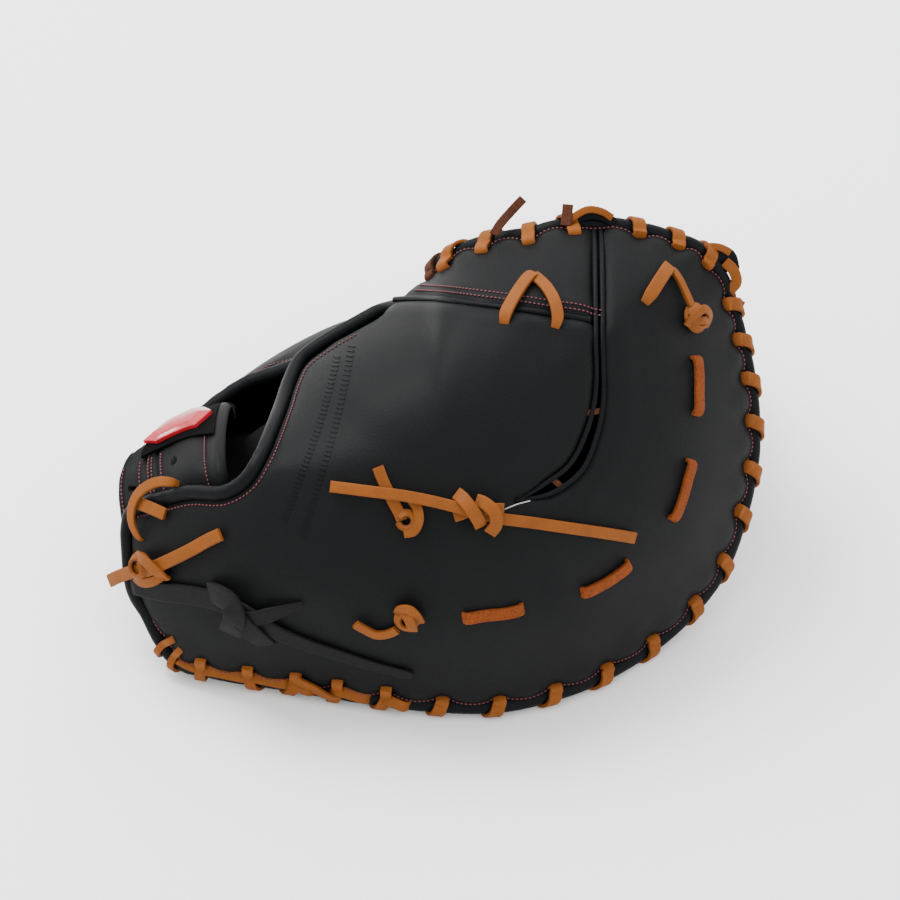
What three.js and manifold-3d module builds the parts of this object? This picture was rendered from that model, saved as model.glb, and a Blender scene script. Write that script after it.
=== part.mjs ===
// First baseman mitt, lying palm down like a tent: finger side to -Y, heel to -X, back up. mm, +Z up.
import * as THREE from "three";
import { mergeVertices } from "three/addons/utils/BufferGeometryUtils.js";
import Module from "manifold-3d";

const wasm = await Module();
wasm.setup();

// Driving sizes, in mm
const LENGTH = 277; // heel to finger tips
const BREADTH = 219; // floor rim to top rim, seen square on to the finger back
const STAND = 88.4; // height of the middle of the finger sheet over the floor
const LEAN = Math.PI / 4; // lean of the finger sheet
const THUMB_LEAN = 0.42; // lean of the thumb sheet
const DOME = 36; // rise of the finger back over the sketch plane
const HAND = 42; // back leather to pocket side, in the middle of the finger side
const THUMB_HAND = 31; // the same on the thumb side
const PALM_WALL = 9; // padded palm
const LEATHER = 2.4; // back leather
const EDGE_WALL = 6; // palm at its laced edge
const PALM_RAMP = 44; // width of the edge over which the finger side of the palm gets its full depth
const THUMB_RAMP = 34; // the same on the thumb side
const LACED_EDGE = 18; // flat laced edge of the pocket side
const GAP = 0.35; // between neighbours
const LACE_WIDE = 5.8;
const LACE_THICK = 2;
const HOLE_INSET = 16; // lace holes from the edge
const LOOP_PITCH = 23.7; // one whip loop to the next
const HEEL_MARGIN = 18; // end of a rim at the heel to its first lace hole
const CROTCH_MARGIN = 27; // the same at the finger rim's end beside the hand hole
const THUMB_MARGIN = 24; // the same at the thumb rim's end beside the hand hole
const LACE_SPACE = 10; // the last hole of a lace to the first of the next one
const BINDING = 3; // half width of the rolled edge
const ROLL = 3.1; // radius of the hand hole's rolled edge
const PIPING = 1.1; // radius of the slit's piping
const SLIT = 2.4; // open width between the two pipings
const WELT = 1.5; // radius of the rolled edge under the double seam
const TIE_WIDE = 9; // the wide black lace
const TIE_END_WIDE = 5; // its long tapered end
const BADGE_HIGH = 3;
const BACKING_THICK = 1.2; // felt under the badge
const WEB_THICK = 3;
const WEB_SAG = 0.1; // dip of the web as a share of its width
const FLOOR = -1.8; // floor under the outline's lowest points: the lace is pressed flat on it
const STRAP_THICK = 3.2;
const PANEL_INSET = 2 * BINDING + 2 * GAP; // where the leathers stop and the rolled edge begins

// The sketch of the finger back: counts along and across on a grid with 645 squares from heel to tips
const GRID_ALONG = LENGTH / 645;
const GRID_ACROSS = BREADTH / 509;
const SKETCH_MIDDLE = { along: 440, across: 460 };
const DEEP = LENGTH / 277; // depths in the tables are mm on a mitt of 277 mm

const V = (x, y, z) => new THREE.Vector3(x, y, z);
const lerp = (a, b, t) => a + (b - a) * t;
const smooth = (t) => THREE.MathUtils.smoothstep(t, 0, 1);

// A plane that a lobe of the mitt is drawn on: u along the mitt, v up the lobe, w out of its back
const fingerPlane = {
  origin: V(0, 0, STAND),
  u: V(1, 0, 0),
  v: V(0, Math.cos(LEAN), Math.sin(LEAN)),
  w: V(0, -Math.sin(LEAN), Math.cos(LEAN)),
};
const THUMB_SHEET_AT = [0, 117, 52]; // x, y, z on a mitt of 277 mm, as in all tables of the thumb side
const thumbPlane = {
  origin: V(...THUMB_SHEET_AT).multiplyScalar(DEEP),
  u: V(1, 0, 0),
  v: V(0, -Math.sin(THUMB_LEAN), Math.cos(THUMB_LEAN)),
  w: V(0, Math.cos(THUMB_LEAN), Math.sin(THUMB_LEAN)),
};
const placed = (plane, u, v, w) =>
  plane.origin
    .clone()
    .addScaledVector(plane.u, u)
    .addScaledVector(plane.v, v)
    .addScaledVector(plane.w, w);
const onPlane = (plane, p) => {
  const q = p.clone().sub(plane.origin);
  return { u: q.dot(plane.u), v: q.dot(plane.v), w: q.dot(plane.w) };
};
const sketch = (along, across) => ({
  u: (along - SKETCH_MIDDLE.along) * GRID_ALONG,
  v: (SKETCH_MIDDLE.across - across) * GRID_ACROSS,
});
// depth at which a point of the finger sketch lies on the floor
const floorDepth = (v) => (-STAND - v * Math.sin(LEAN)) / Math.cos(LEAN);

// One lobe: a dome over an outline, with a height for every place on its plane
class Lobe {
  constructor(plane, centre, rows) {
    this.plane = plane;
    this.centre = centre;
    const curve = new THREE.CatmullRomCurve3(
      rows.map((r) => V(r.u, r.v, r.w)),
      true,
      "centripetal",
    );
    const powers = rows.map((r) => r.power);
    const count = 360;
    this.edge = [];
    for (let i = 0; i < count; i++) {
      const share = i / count;
      const p = curve.getPoint(share);
      const at = share * rows.length;
      const k = Math.floor(at);
      const next = powers[(k + 1) % rows.length];
      const bearing = Math.atan2(p.y - centre.v, p.x - centre.u);
      const reach = Math.hypot(p.x - centre.u, p.y - centre.v);
      this.edge.push({ bearing, reach, w: p.z, power: lerp(powers[k], next, at - k) });
    }
    this.edge.sort((a, b) => a.bearing - b.bearing);
  }
  // the edge at a bearing from the centre
  rim(bearing) {
    const turn = 2 * Math.PI;
    const b = bearing - turn * Math.floor((bearing + Math.PI) / turn);
    const list = this.edge;
    let lo = 0;
    let hi = list.length;
    while (hi - lo > 1) {
      const mid = (lo + hi) >> 1;
      if (list[mid].bearing <= b) lo = mid;
      else hi = mid;
    }
    let first = list[lo];
    let last = list[(lo + 1) % list.length];
    let start = first.bearing;
    let end = last.bearing;
    if (b < start) {
      first = list[list.length - 1];
      last = list[0];
      start = first.bearing - turn;
      end = last.bearing;
    } else if (end < start) end += turn;
    const t = (b - start) / Math.max(end - start, 1e-9);
    return {
      reach: lerp(first.reach, last.reach, t),
      w: lerp(first.w, last.w, t),
      power: lerp(first.power, last.power, t),
    };
  }
  inset(u, v) {
    const du = u - this.centre.u;
    const dv = v - this.centre.v;
    return this.rim(Math.atan2(dv, du)).reach - Math.hypot(du, dv);
  }
  height(u, v) {
    const du = u - this.centre.u;
    const dv = v - this.centre.v;
    const rim = this.rim(Math.atan2(dv, du));
    const share = Math.hypot(du, dv) / rim.reach;
    return this.centre.w - (this.centre.w - rim.w) * share ** rim.power;
  }
  normal(u, v) {
    const h = 0.5;
    const slopeU = (this.height(u + h, v) - this.height(u - h, v)) / (2 * h);
    const slopeV = (this.height(u, v + h) - this.height(u, v - h)) / (2 * h);
    return this.plane.w
      .clone()
      .addScaledVector(this.plane.u, -slopeU)
      .addScaledVector(this.plane.v, -slopeV)
      .normalize();
  }
  point(u, v, off = 0) {
    const p = placed(this.plane, u, v, this.height(u, v));
    return off ? p.addScaledVector(this.normal(u, v), off) : p;
  }
  rimPlace(bearing) {
    const reach = this.rim(bearing).reach;
    return {
      u: this.centre.u + reach * Math.cos(bearing),
      v: this.centre.v + reach * Math.sin(bearing),
    };
  }
  bearingOf(u, v) {
    return Math.atan2(v - this.centre.v, u - this.centre.u);
  }
}

const FINGER_POWER = 3; // power of the dome's fall
// Finger lobe outline: along, across, depth (null: on the floor)
const FINGER_OUTLINE = [
  [121, 505, -22],
  [120, 545, -22],
  [126, 590, -25],
  [145, 632, -29],
  [172, 667, -31],
  [225, 681, -29],
  [290, 691, null],
  [350, 701, null],
  [430, 711, null],
  [500, 712, null],
  [560, 699, null],
  [607, 681, null],
  [655, 653, -43],
  [697, 616, -49],
  [730, 571, -52],
  [750, 516, -52],
  [761, 462, -49],
  [762, 418, -47],
  [757, 372, -46],
  [746, 325, -44],
  [730, 275, -40],
  [707, 245, -34],
  [672, 230, -30],
  [625, 219, -26],
  [575, 217, -24],
  [529, 227, -24],
  [480, 237, -28],
  [445, 253, -36],
  [420, 277, -46],
  [385, 299, -47],
  [350, 318, -46],
  [310, 340, -46],
  [255, 387, -46],
  [205, 412, -44],
  [165, 431, -41],
  [138, 450, -36],
  [126, 470, -27],
];
const fingerRows = FINGER_OUTLINE.map(([along, across, depth]) => {
  const { u, v } = sketch(along, across);
  return { u, v, w: depth === null ? floorDepth(v) : depth * DEEP, power: FINGER_POWER };
});
const FINGER_TOP = [440, 470]; // top of the dome on the sketch
const finger = new Lobe(fingerPlane, { ...sketch(...FINGER_TOP), w: DOME * DEEP }, fingerRows);

// Thumb lobe outline: x, y, z, power of the dome's fall
const THUMB_OUTLINE = [
  [-4, 94, 103, 2],
  [18, 113, 99, 2.4],
  [40, 126, 91, 2.6],
  [60, 134, 83, 2.6],
  [78, 140, 75, 2.6],
  [92, 144, 67, 2.6],
  [102, 147, 55, 2.6],
  [107, 149, 41, 2.6],
  [104, 151, 27, 2.6],
  [93, 153, 13, 2.6],
  [75, 154, 4, 2.6],
  [52, 153, 1.6, 2.6],
  [25, 148, 1.6, 2.6],
  [-5, 139, 1.6, 2.6],
  [-35, 127, 1.6, 2.6],
  [-62, 113, 1.6, 2.6],
  [-86, 99, 1.8, 2.6],
  [-106, 85, 4, 2.6],
  [-120, 71, 8, 2.6],
  [-127, 60, 19, 2.2],
  [-127, 52, 34, 2],
  [-120, 47, 48, 1.8],
  [-100, 54, 58, 1.7],
  [-76, 65, 68, 1.6],
  [-50, 76, 80, 1.6],
  [-25, 86, 93, 1.8],
];
const thumbRows = THUMB_OUTLINE.map(([x, y, z, power]) => {
  const q = onPlane(thumbPlane, V(x * DEEP, y * DEEP, z * DEEP));
  return { ...q, power };
});
const THUMB_TOP = { u: 2 * DEEP, v: -2 * DEEP, w: 13 * DEEP };
const thumb = new Lobe(thumbPlane, THUMB_TOP, thumbRows);

// Closed shells from points and faces
const manifoldOf = (points, faces) => {
  const geometry = new THREE.BufferGeometry();
  geometry.setAttribute(
    "position",
    new THREE.BufferAttribute(new Float32Array(points.flatMap((p) => [p.x, p.y, p.z])), 3),
  );
  geometry.setIndex(faces.flat());
  return manifoldFrom(geometry);
};
const manifoldFrom = (geometry) => {
  const bare = new THREE.BufferGeometry();
  bare.setAttribute("position", geometry.getAttribute("position"));
  if (geometry.index) bare.setIndex(geometry.index);
  const merged = mergeVertices(bare, 1e-4);
  const build = (index) =>
    new wasm.Manifold(
      new wasm.Mesh({
        numProp: 3,
        vertProperties: new Float32Array(merged.attributes.position.array),
        triVerts: index,
      }),
    );
  const index = new Uint32Array(merged.index.array);
  const solid = build(index);
  if (solid.volume() > 0) return solid;
  for (let i = 0; i < index.length; i += 3) {
    [index[i + 1], index[i + 2]] = [index[i + 2], index[i + 1]];
  }
  return build(index);
};
const quad = (a, b, c, d) => [
  [a, b, c],
  [a, c, d],
];

// A sheet fanned out from a middle: columns of points from the middle to the edge, on two sides
const fanShell = (columns, rings, outer, inner) => {
  const points = [outer(0, 0), inner(0, 0)];
  const faces = [];
  const id = (side, j, i) => (i === 0 ? side : 2 + (j * (rings - 1) + i - 1) * 2 + side);
  for (let j = 0; j < columns; j++) {
    for (let i = 1; i < rings; i++) points.push(outer(j, i), inner(j, i));
  }
  for (let j = 0; j < columns; j++) {
    const k = (j + 1) % columns;
    faces.push([id(0, j, 0), id(0, j, 1), id(0, k, 1)]);
    faces.push([id(1, j, 0), id(1, k, 1), id(1, j, 1)]);
    for (let i = 1; i < rings - 1; i++) {
      faces.push(...quad(id(0, j, i), id(0, j, i + 1), id(0, k, i + 1), id(0, k, i)));
      faces.push(...quad(id(1, k, i), id(1, k, i + 1), id(1, j, i + 1), id(1, j, i)));
    }
    const e = rings - 1;
    faces.push(...quad(id(0, j, e), id(1, j, e), id(1, k, e), id(0, k, e)));
  }
  return { points, faces };
};

// A panel of leather on a lobe, under an outline of places on its plane
const RINGS = [0, 0.34, 0.57, 0.75, 0.89, 1];
const panel = (lobe, middle, outline, top, bottom) => {
  const place = (j, i) => ({
    u: lerp(middle.u, outline[j].u, RINGS[i]),
    v: lerp(middle.v, outline[j].v, RINGS[i]),
  });
  const on = (off) => (j, i) => {
    const q = place(j, i);
    return lobe.point(q.u, q.v, off);
  };
  const shell = fanShell(outline.length, RINGS.length, on(top), on(bottom));
  return manifoldOf(shell.points, shell.faces);
};
// even places along a line of places
const evenly = (places, count, closed = false) => {
  const curve = new THREE.CatmullRomCurve3(
    places.map((q) => V(q.u, q.v, 0)),
    closed,
    "centripetal",
  );
  const list = curve.getSpacedPoints(count).map((p) => ({ u: p.x, v: p.y }));
  return closed ? list.slice(0, count) : list;
};
// A lobe's rim between two bearings, by the distance along it
const rimPath = (lobe, from, to) => {
  const samples = [];
  const raw = 480;
  let length = 0;
  for (let i = 0; i <= raw; i++) {
    const bearing = lerp(from, to, i / raw);
    const q = lobe.rimPlace(bearing);
    const at = lobe.point(q.u, q.v);
    if (i) length += at.distanceTo(samples[i - 1].at);
    samples.push({ bearing, at, length });
  }
  const bearingFor = (distance) => {
    const d = Math.min(Math.max(distance, 0), length);
    let i = 1;
    while (i < raw && samples[i].length < d) i++;
    const a = samples[i - 1];
    const b = samples[i];
    return lerp(a.bearing, b.bearing, (d - a.length) / Math.max(b.length - a.length, 1e-9));
  };
  const turn = 0.01;
  // the way along the rim, and the way out of it along the leather
  const ways = (bearing, normal) => {
    const a = lobe.rimPlace(bearing - turn);
    const b = lobe.rimPlace(bearing + turn);
    const along = lobe.point(b.u, b.v).sub(lobe.point(a.u, a.v)).normalize();
    const outward = along.clone().cross(normal).normalize();
    const q = lobe.rimPlace(bearing);
    const radial = placed(lobe.plane, q.u, q.v, 0).sub(placed(lobe.plane, lobe.centre.u, lobe.centre.v, 0));
    return outward.dot(radial) < 0 ? outward.negate() : outward;
  };
  // the place on the lobe's plane, some way in from the edge, measured on the steep leather
  const place = (distance, inset) => {
    const bearing = bearingFor(distance);
    const q = lobe.rimPlace(bearing);
    const outward = ways(bearing, lobe.normal(q.u, q.v));
    return { u: q.u - outward.dot(lobe.plane.u) * inset, v: q.v - outward.dot(lobe.plane.v) * inset };
  };
  // a point near the rim: inset on the leather, height over the back
  const near = (distance, inset, over) => {
    const held = Math.max(inset, PANEL_INSET);
    const q = place(distance, held);
    const normal = lobe.normal(q.u, q.v);
    const outward = ways(bearingFor(distance), normal);
    const at = lobe.point(q.u, q.v).addScaledVector(normal, over).addScaledVector(outward, held - inset);
    return { at, normal, outward };
  };
  // distance along the rim at a bearing
  const distanceAt = (bearing) => samples.find((p) => p.bearing >= bearing).length;
  const places = (count) => {
    const list = [];
    for (let i = 0; i <= count; i++) list.push(place((length * i) / count, PANEL_INSET));
    return list;
  };
  return { length, near, places, distanceAt };
};

// Rim bearings of the finger side, the long way round from the heel corner to the crotch
const bearingAt = (along, across) => {
  const q = sketch(along, across);
  return finger.bearingOf(q.u, q.v);
};
const turnUp = (from, to) => (to < from ? to + 2 * Math.PI : to);
const HEEL_BEARING = bearingAt(135, 615);
const CROTCH_BEARING = turnUp(HEEL_BEARING, bearingAt(418, 279));

const fingerRim = rimPath(finger, HEEL_BEARING, CROTCH_BEARING);
const thumbBearing = (x, y, z) => {
  const q = onPlane(thumbPlane, V(x * DEEP, y * DEEP, z * DEEP));
  return thumb.bearingOf(q.u, q.v);
};
const THUMB_HEEL_BEARING = thumbBearing(-124, 65, 13);
const THUMB_CROTCH_BEARING = turnUp(THUMB_HEEL_BEARING, thumbBearing(-4, 94, 103));
const thumbRim = rimPath(thumb, THUMB_HEEL_BEARING, THUMB_CROTCH_BEARING);

// The hand hole's rolled edge on the finger side: along and across, from the crotch to the heel end
const HOLE_ROLL = [
  [386, 303],
  [350, 323],
  [318, 342],
  [298, 358],
  [287, 380],
  [280, 404],
  [271, 430],
  [261, 455],
  [245, 480],
  [224, 492],
  [190, 492],
  [160, 499],
  [134, 505],
];
const holeRoll = HOLE_ROLL.map(([along, across]) => sketch(along, across));
// a line of places moved sideways
const beside = (places, way) =>
  places.map((q, i) => {
    const a = places[Math.max(i - 1, 0)];
    const b = places[Math.min(i + 1, places.length - 1)];
    const length = Math.hypot(b.u - a.u, b.v - a.v);
    return { u: q.u - ((b.v - a.v) / length) * way, v: q.v + ((b.u - a.u) / length) * way };
  });
const holeEdge = beside(holeRoll, ROLL + GAP);
const HEEL_END = [
  [130, 530],
  [131, 560],
  [136, 590],
];
const heelEnd = HEEL_END.map(([along, across]) => sketch(along, across));

const fingerPanelMiddle = sketch(440, 560);
const fingerPanelOutline = [
  ...fingerRim.places(38),
  ...evenly(holeEdge, 11),
  ...heelEnd,
];

// Whole back sheet of the finger side, then its cuts
const CUT_DEPTH = 140;
const prism = (places) => {
  const shape = new THREE.Shape(places.map((q) => new THREE.Vector2(q.u, q.v)));
  const geometry = new THREE.ExtrudeGeometry(shape, { depth: CUT_DEPTH, bevelEnabled: false });
  const basis = new THREE.Matrix4().makeBasis(fingerPlane.u, fingerPlane.v, fingerPlane.w);
  basis.setPosition(placed(fingerPlane, 0, 0, -CUT_DEPTH / 2));
  geometry.applyMatrix4(basis);
  return manifoldFrom(geometry);
};
// a strip of even width round a line of places
const strip = (places, width) => [...beside(places, width / 2), ...beside(places, -width / 2).reverse()];
const SLIT_LINE = [
  [598, 205],
  [599, 330],
  [599, 400],
  [590, 438],
  [575, 468],
  [548, 488],
  [515, 501],
];
const slitLine = SLIT_LINE.map(([along, across]) => sketch(along, across));
const SEAM_LINE = [
  [360, 300],
  [390, 297],
  [425, 297],
  [470, 303],
  [530, 311],
  [600, 322],
];
const seamLine = SEAM_LINE.map(([along, across]) => sketch(along, across));

// Tubes and ribbons along frames
// frames: {at, out, side} with out and side square to the path; section: [side share, out share] pairs
const sweep = (frames, section, closed = false) => {
  const points = [];
  const faces = [];
  const n = section.length;
  for (const f of frames) {
    for (const [s, o] of section) {
      points.push(f.at.clone().addScaledVector(f.side, s).addScaledVector(f.out, o));
    }
  }
  const rows = frames.length;
  const last = closed ? rows : rows - 1;
  for (let i = 0; i < last; i++) {
    const m = (i + 1) % rows;
    for (let k = 0; k < n; k++) {
      const l = (k + 1) % n;
      faces.push(...quad(i * n + k, i * n + l, m * n + l, m * n + k));
    }
  }
  if (!closed) {
    for (let k = 1; k < n - 1; k++) {
      faces.push([0, k + 1, k]);
      faces.push([(rows - 1) * n, (rows - 1) * n + k, (rows - 1) * n + k + 1]);
    }
  }
  return { points, faces };
};
const ring = (a, b, sides = 6) => {
  const list = [];
  for (let i = 0; i < sides; i++) {
    const turn = (2 * Math.PI * (i + 0.5)) / sides;
    list.push([a * Math.cos(turn), b * Math.sin(turn)]);
  }
  return list;
};
const flat = (wide, thick) => [
  [-wide / 2, -thick / 2],
  [wide / 2, -thick / 2],
  [wide / 2, thick / 2],
  [-wide / 2, thick / 2],
];
// frames for a path with a wish for the outward direction at each point
const framed = (path) =>
  path.map((p, i) => {
    const a = path[Math.max(i - 1, 0)].at;
    const b = path[Math.min(i + 1, path.length - 1)].at;
    const along = b.clone().sub(a).normalize();
    const out = p.out.clone().addScaledVector(along, -p.out.dot(along)).normalize();
    return { at: p.at, out, side: along.clone().cross(out).normalize() };
  });
const tube = (path, a, b = a, sides = 6) => {
  const shell = sweep(framed(path), ring(a, b, sides));
  return manifoldOf(shell.points, shell.faces);
};
const ribbon = (path, wide = LACE_WIDE, thick = LACE_THICK) => {
  const shell = sweep(framed(path), flat(wide, thick));
  return manifoldOf(shell.points, shell.faces);
};

const PALM_UNDER = LEATHER + 2 * GAP; // depth of the palm under the back leather where they are laced
const EDGE_DEEP = PALM_UNDER + EDGE_WALL; // both leathers at the laced edge
const bindingTube = (path, from, to, step = 15) => {
  const count = Math.max(4, Math.round((to - from) / step));
  const list = [];
  for (let i = 0; i <= count; i++) {
    const p = path.near(lerp(from, to, i / count), BINDING, -EDGE_DEEP / 2);
    list.push({ at: p.at, out: p.outward });
  }
  const high = EDGE_DEEP / 2 + 0.1;
  return { solid: tube(list, high, BINDING, 6), cutter: tube(list, high + GAP, BINDING + GAP, 6) };
};
// the whip lace: over the edge, through a hole in both leathers, and on
const HALF = LACE_THICK / 2;
const OVER = HALF + 0.55; // height of a lace's middle over the leather
const UNDER = EDGE_DEEP + HALF + 0.9;
// one loop: share of the pitch, inset, height, and the way it faces (normal, outward)
const LOOP = [
  [0, HOLE_INSET, OVER, 1, -1],
  [0.2, 0.6 * HOLE_INSET, OVER, 1, 0],
  [0.36, BINDING, OVER + 0.9, 1, 0.4],
  [0.44, -HALF - 0.2, 0, 0.6, 1],
  [0.5, -HALF - 0.9, -EDGE_DEEP / 2, 0, 1],
  [0.56, -HALF, -EDGE_DEEP + 0.2, -0.6, 1],
  [0.64, BINDING, -UNDER - 0.6, -1, 0.4],
  [0.8, 0.6 * HOLE_INSET, -UNDER, -1, 0],
  [1, HOLE_INSET, -UNDER, -1, -1],
];
const whip = (path, from, to) => {
  const loops = Math.max(1, Math.round((to - from) / LOOP_PITCH));
  const pitch = (to - from) / loops;
  const list = [];
  const stop = (distance, inset, height, normalShare, outShare) => {
    const p = path.near(distance, inset, height);
    const out = p.normal.clone().multiplyScalar(normalShare).addScaledVector(p.outward, outShare);
    list.push({ at: p.at, out });
  };
  for (let i = 0; i < loops; i++) {
    for (const [share, inset, height, normalShare, outShare] of LOOP) {
      stop(from + (i + share) * pitch, inset, height, normalShare, outShare);
    }
  }
  stop(to, HOLE_INSET, OVER, 1, -1);
  return { solid: ribbon(list), cutter: ribbon(list, LACE_WIDE + 2 * GAP, LACE_THICK + 2 * GAP) };
};

// distance along the finger rim beside a place of the sketch
const fingerDistance = (along, across) =>
  fingerRim.distanceAt(turnUp(HEEL_BEARING, bearingAt(along, across)));
const BINDING_START = 2;
const BINDING_STOP = 10; // clear of the hand hole's rolled edge
const fingerBinding = bindingTube(fingerRim, BINDING_START, fingerRim.length - BINDING_STOP);
const thumbBinding = bindingTube(thumbRim, BINDING_START, thumbRim.length - BINDING_STOP - 2);
const HEEL_LACE_END = fingerDistance(395, 707);
const FLOOR_LACE_END = fingerDistance(640, 662);
const TIP_LACE_END = fingerDistance(726, 262);
const BESIDE = LACE_SPACE / 2;
const heelWhip = whip(fingerRim, HEEL_MARGIN, HEEL_LACE_END - BESIDE);
const fingerWhip = whip(fingerRim, HEEL_LACE_END + BESIDE, FLOOR_LACE_END - BESIDE);
const tipWhip = whip(fingerRim, FLOOR_LACE_END + BESIDE, TIP_LACE_END - BESIDE);
const topWhip = whip(fingerRim, TIP_LACE_END + BESIDE, fingerRim.length - CROTCH_MARGIN);
const THUMB_LACE_SHARE = 0.56; // share of the thumb rim that its first lace takes
const thumbHalf = THUMB_LACE_SHARE * thumbRim.length;
const thumbWhip = whip(thumbRim, HEEL_MARGIN, thumbHalf - BESIDE);
const webWhip = whip(thumbRim, thumbHalf + BESIDE, thumbRim.length - THUMB_MARGIN);

// Finger back, index panel
const backSheet = panel(finger, fingerPanelMiddle, fingerPanelOutline, 0, -LEATHER);
// the seam runs from the hand hole's edge to the slit
const SEAM_START = [
  [280, 352],
  [330, 325],
];
const seamWhole = evenly([...SEAM_START.map(([a, c]) => sketch(a, c)), ...seamLine], 12);
const indexOutline = [...seamWhole, sketch(600, 180), sketch(250, 180)];
const seamCut = prism(strip(seamWhole, 2 * (WELT + GAP)));
const slitCut = prism(strip(evenly(slitLine, 12), SLIT + 4 * PIPING + 4 * GAP));
let fingerBack = backSheet.subtract(prism(indexOutline)).subtract(seamCut).subtract(slitCut);
let indexPanel = backSheet.intersect(prism(indexOutline)).subtract(seamCut).subtract(slitCut);
const holesIn = (solid, ...whips) => {
  let cut = solid;
  for (const w of whips) cut = cut.subtract(w.cutter);
  return cut;
};
fingerBack = holesIn(fingerBack, heelWhip, fingerWhip, tipWhip, topWhip);
indexPanel = holesIn(indexPanel, topWhip);

// Thumb back
const THUMB_ROLL = [
  [-16, 92, 98],
  [-34, 89, 84],
  [-57, 81, 69],
  [-80, 75, 56],
  [-103, 66, 44],
  [-121, 56, 34],
];
const thumbRoll = THUMB_ROLL.map(([x, y, z]) => onPlane(thumbPlane, V(x * DEEP, y * DEEP, z * DEEP)));
const thumbHoleEdge = beside(thumbRoll, ROLL + GAP);
const thumbOutline = [
  ...thumbRim.places(26),
  ...evenly(thumbHoleEdge, 9),
];
const thumbMiddle = { u: 8 * DEEP, v: -14 * DEEP };
let thumbBack = panel(thumb, thumbMiddle, thumbOutline, 0, -LEATHER);
thumbBack = holesIn(thumbBack, thumbWhip, webWhip);

// Palm: pocket side and hand side of both lobes, joined along the middle from crotch to heel
const PALM_MIDDLE = [
  [-5, 87, 94],
  [-25, 81, 79],
  [-46, 74, 63],
  [-67, 66, 48],
  [-88, 58, 34],
  [-108, 48, 22],
  [-124, 38, 14],
  [-135, 30, 10],
];
const palmMiddle = PALM_MIDDLE.map(([x, y, z]) => V(x * DEEP, y * DEEP, z * DEEP));
const palmUp = V(0, -0.2, 1).normalize();
const spread = (inset, start, width, from, to) => lerp(from, to, smooth((inset - start) / width));
const HEEL_SHARES = [0.33, 0.67]; // places along the heel edge, from the rim to the middle line
const palmSide = (lobe, deep, width, rim, middle) => {
  const pocketOff = (inset) => -spread(inset, LACED_EDGE, width, EDGE_DEEP, deep);
  const handOff = (inset) => -spread(inset, HOLE_INSET, width, PALM_UNDER, deep - PALM_WALL);
  const on = (off) => (q) => lobe.point(q.u, q.v, off(lobe.inset(q.u, q.v)));
  const pocket = on(pocketOff);
  const hand = on(handOff);
  const centre = { u: lobe.centre.u, v: lobe.centre.v };
  const columns = rim.map((q) => (r) => {
    const p = { u: lerp(centre.u, q.u, r), v: lerp(centre.v, q.v, r) };
    return [hand(p), pocket(p)];
  });
  // a column that leaves the lobe's own shape for a point on the middle line or the heel edge
  const leaving = (surface, target) => {
    const goal = onPlane(lobe.plane, target);
    const shift = target.clone().sub(surface(goal));
    return (r) => {
      const p = { u: lerp(centre.u, goal.u, r), v: lerp(centre.v, goal.v, r) };
      return surface(p).addScaledVector(shift, r ** 1.5);
    };
  };
  const straight = (handEnd, pocketEnd) => {
    const top = leaving(hand, handEnd);
    const low = leaving(pocket, pocketEnd);
    return (r) => [top(r), low(r)];
  };
  const corner = columns[0](1);
  const end = middle[middle.length - 1];
  const ends = HEEL_SHARES.map((t) =>
    straight(
      corner[0].clone().lerp(end.clone().addScaledVector(palmUp, PALM_WALL - 1), t),
      corner[1].clone().lerp(end, t),
    ),
  );
  const mids = middle.map((m) => straight(m.clone().addScaledVector(palmUp, PALM_WALL - 1), m));
  return { columns, ends, mids };
};
const fingerPalmRim = fingerRim.places(38);
const thumbPalmRim = thumbRim.places(26);
const PALM_RINGS = [0, 0.32, 0.55, 0.74, 0.88, 1];
const fingerSide = palmSide(finger, HAND, PALM_RAMP, fingerPalmRim, palmMiddle);
const thumbSide = palmSide(thumb, THUMB_HAND, THUMB_RAMP, thumbPalmRim, palmMiddle);
const halfPalm = (side) => {
  const around = [...side.columns, ...side.mids, ...[...side.ends].reverse()];
  const cells = around.map((column) => PALM_RINGS.map((r) => column(r)));
  const open = [];
  around.forEach((column, j) => {
    const next = (j + 1) % around.length;
    const first = side.columns.length;
    const inMiddle = j >= first && next >= first && next < first + side.mids.length && next > j;
    open.push(!inMiddle);
  });
  return { cells, open };
};
const palmFaces = (half, offset, flip) => {
  const points = [];
  const faces = [];
  const n = half.cells.length;
  const rings = PALM_RINGS.length;
  const id = (side, j, i) => offset + 2 * (j * rings + i) + side;
  for (const column of half.cells) for (const [top, low] of column) points.push(top, low);
  const add = (list) => list.forEach(([a, b, c]) => faces.push(flip ? [a, c, b] : [a, b, c]));
  for (let j = 0; j < n; j++) {
    const k = (j + 1) % n;
    add([[id(0, j, 0), id(0, j, 1), id(0, k, 1)]]);
    add([[id(1, j, 0), id(1, k, 1), id(1, j, 1)]]);
    for (let i = 1; i < rings - 1; i++) {
      add(quad(id(0, j, i), id(0, j, i + 1), id(0, k, i + 1), id(0, k, i)));
      add(quad(id(1, k, i), id(1, k, i + 1), id(1, j, i + 1), id(1, j, i)));
    }
    const e = rings - 1;
    if (half.open[j]) add(quad(id(0, j, e), id(1, j, e), id(1, k, e), id(0, k, e)));
  }
  return { points, faces };
};
const fingerHalf = palmFaces(halfPalm(fingerSide), 0, false);
const thumbHalfPalm = palmFaces(halfPalm(thumbSide), fingerHalf.points.length, true);
let palm = manifoldOf([...fingerHalf.points, ...thumbHalfPalm.points], [
  ...fingerHalf.faces,
  ...thumbHalfPalm.faces,
]);
palm = holesIn(palm, heelWhip, fingerWhip, tipWhip, topWhip, thumbWhip, webWhip);

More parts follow.
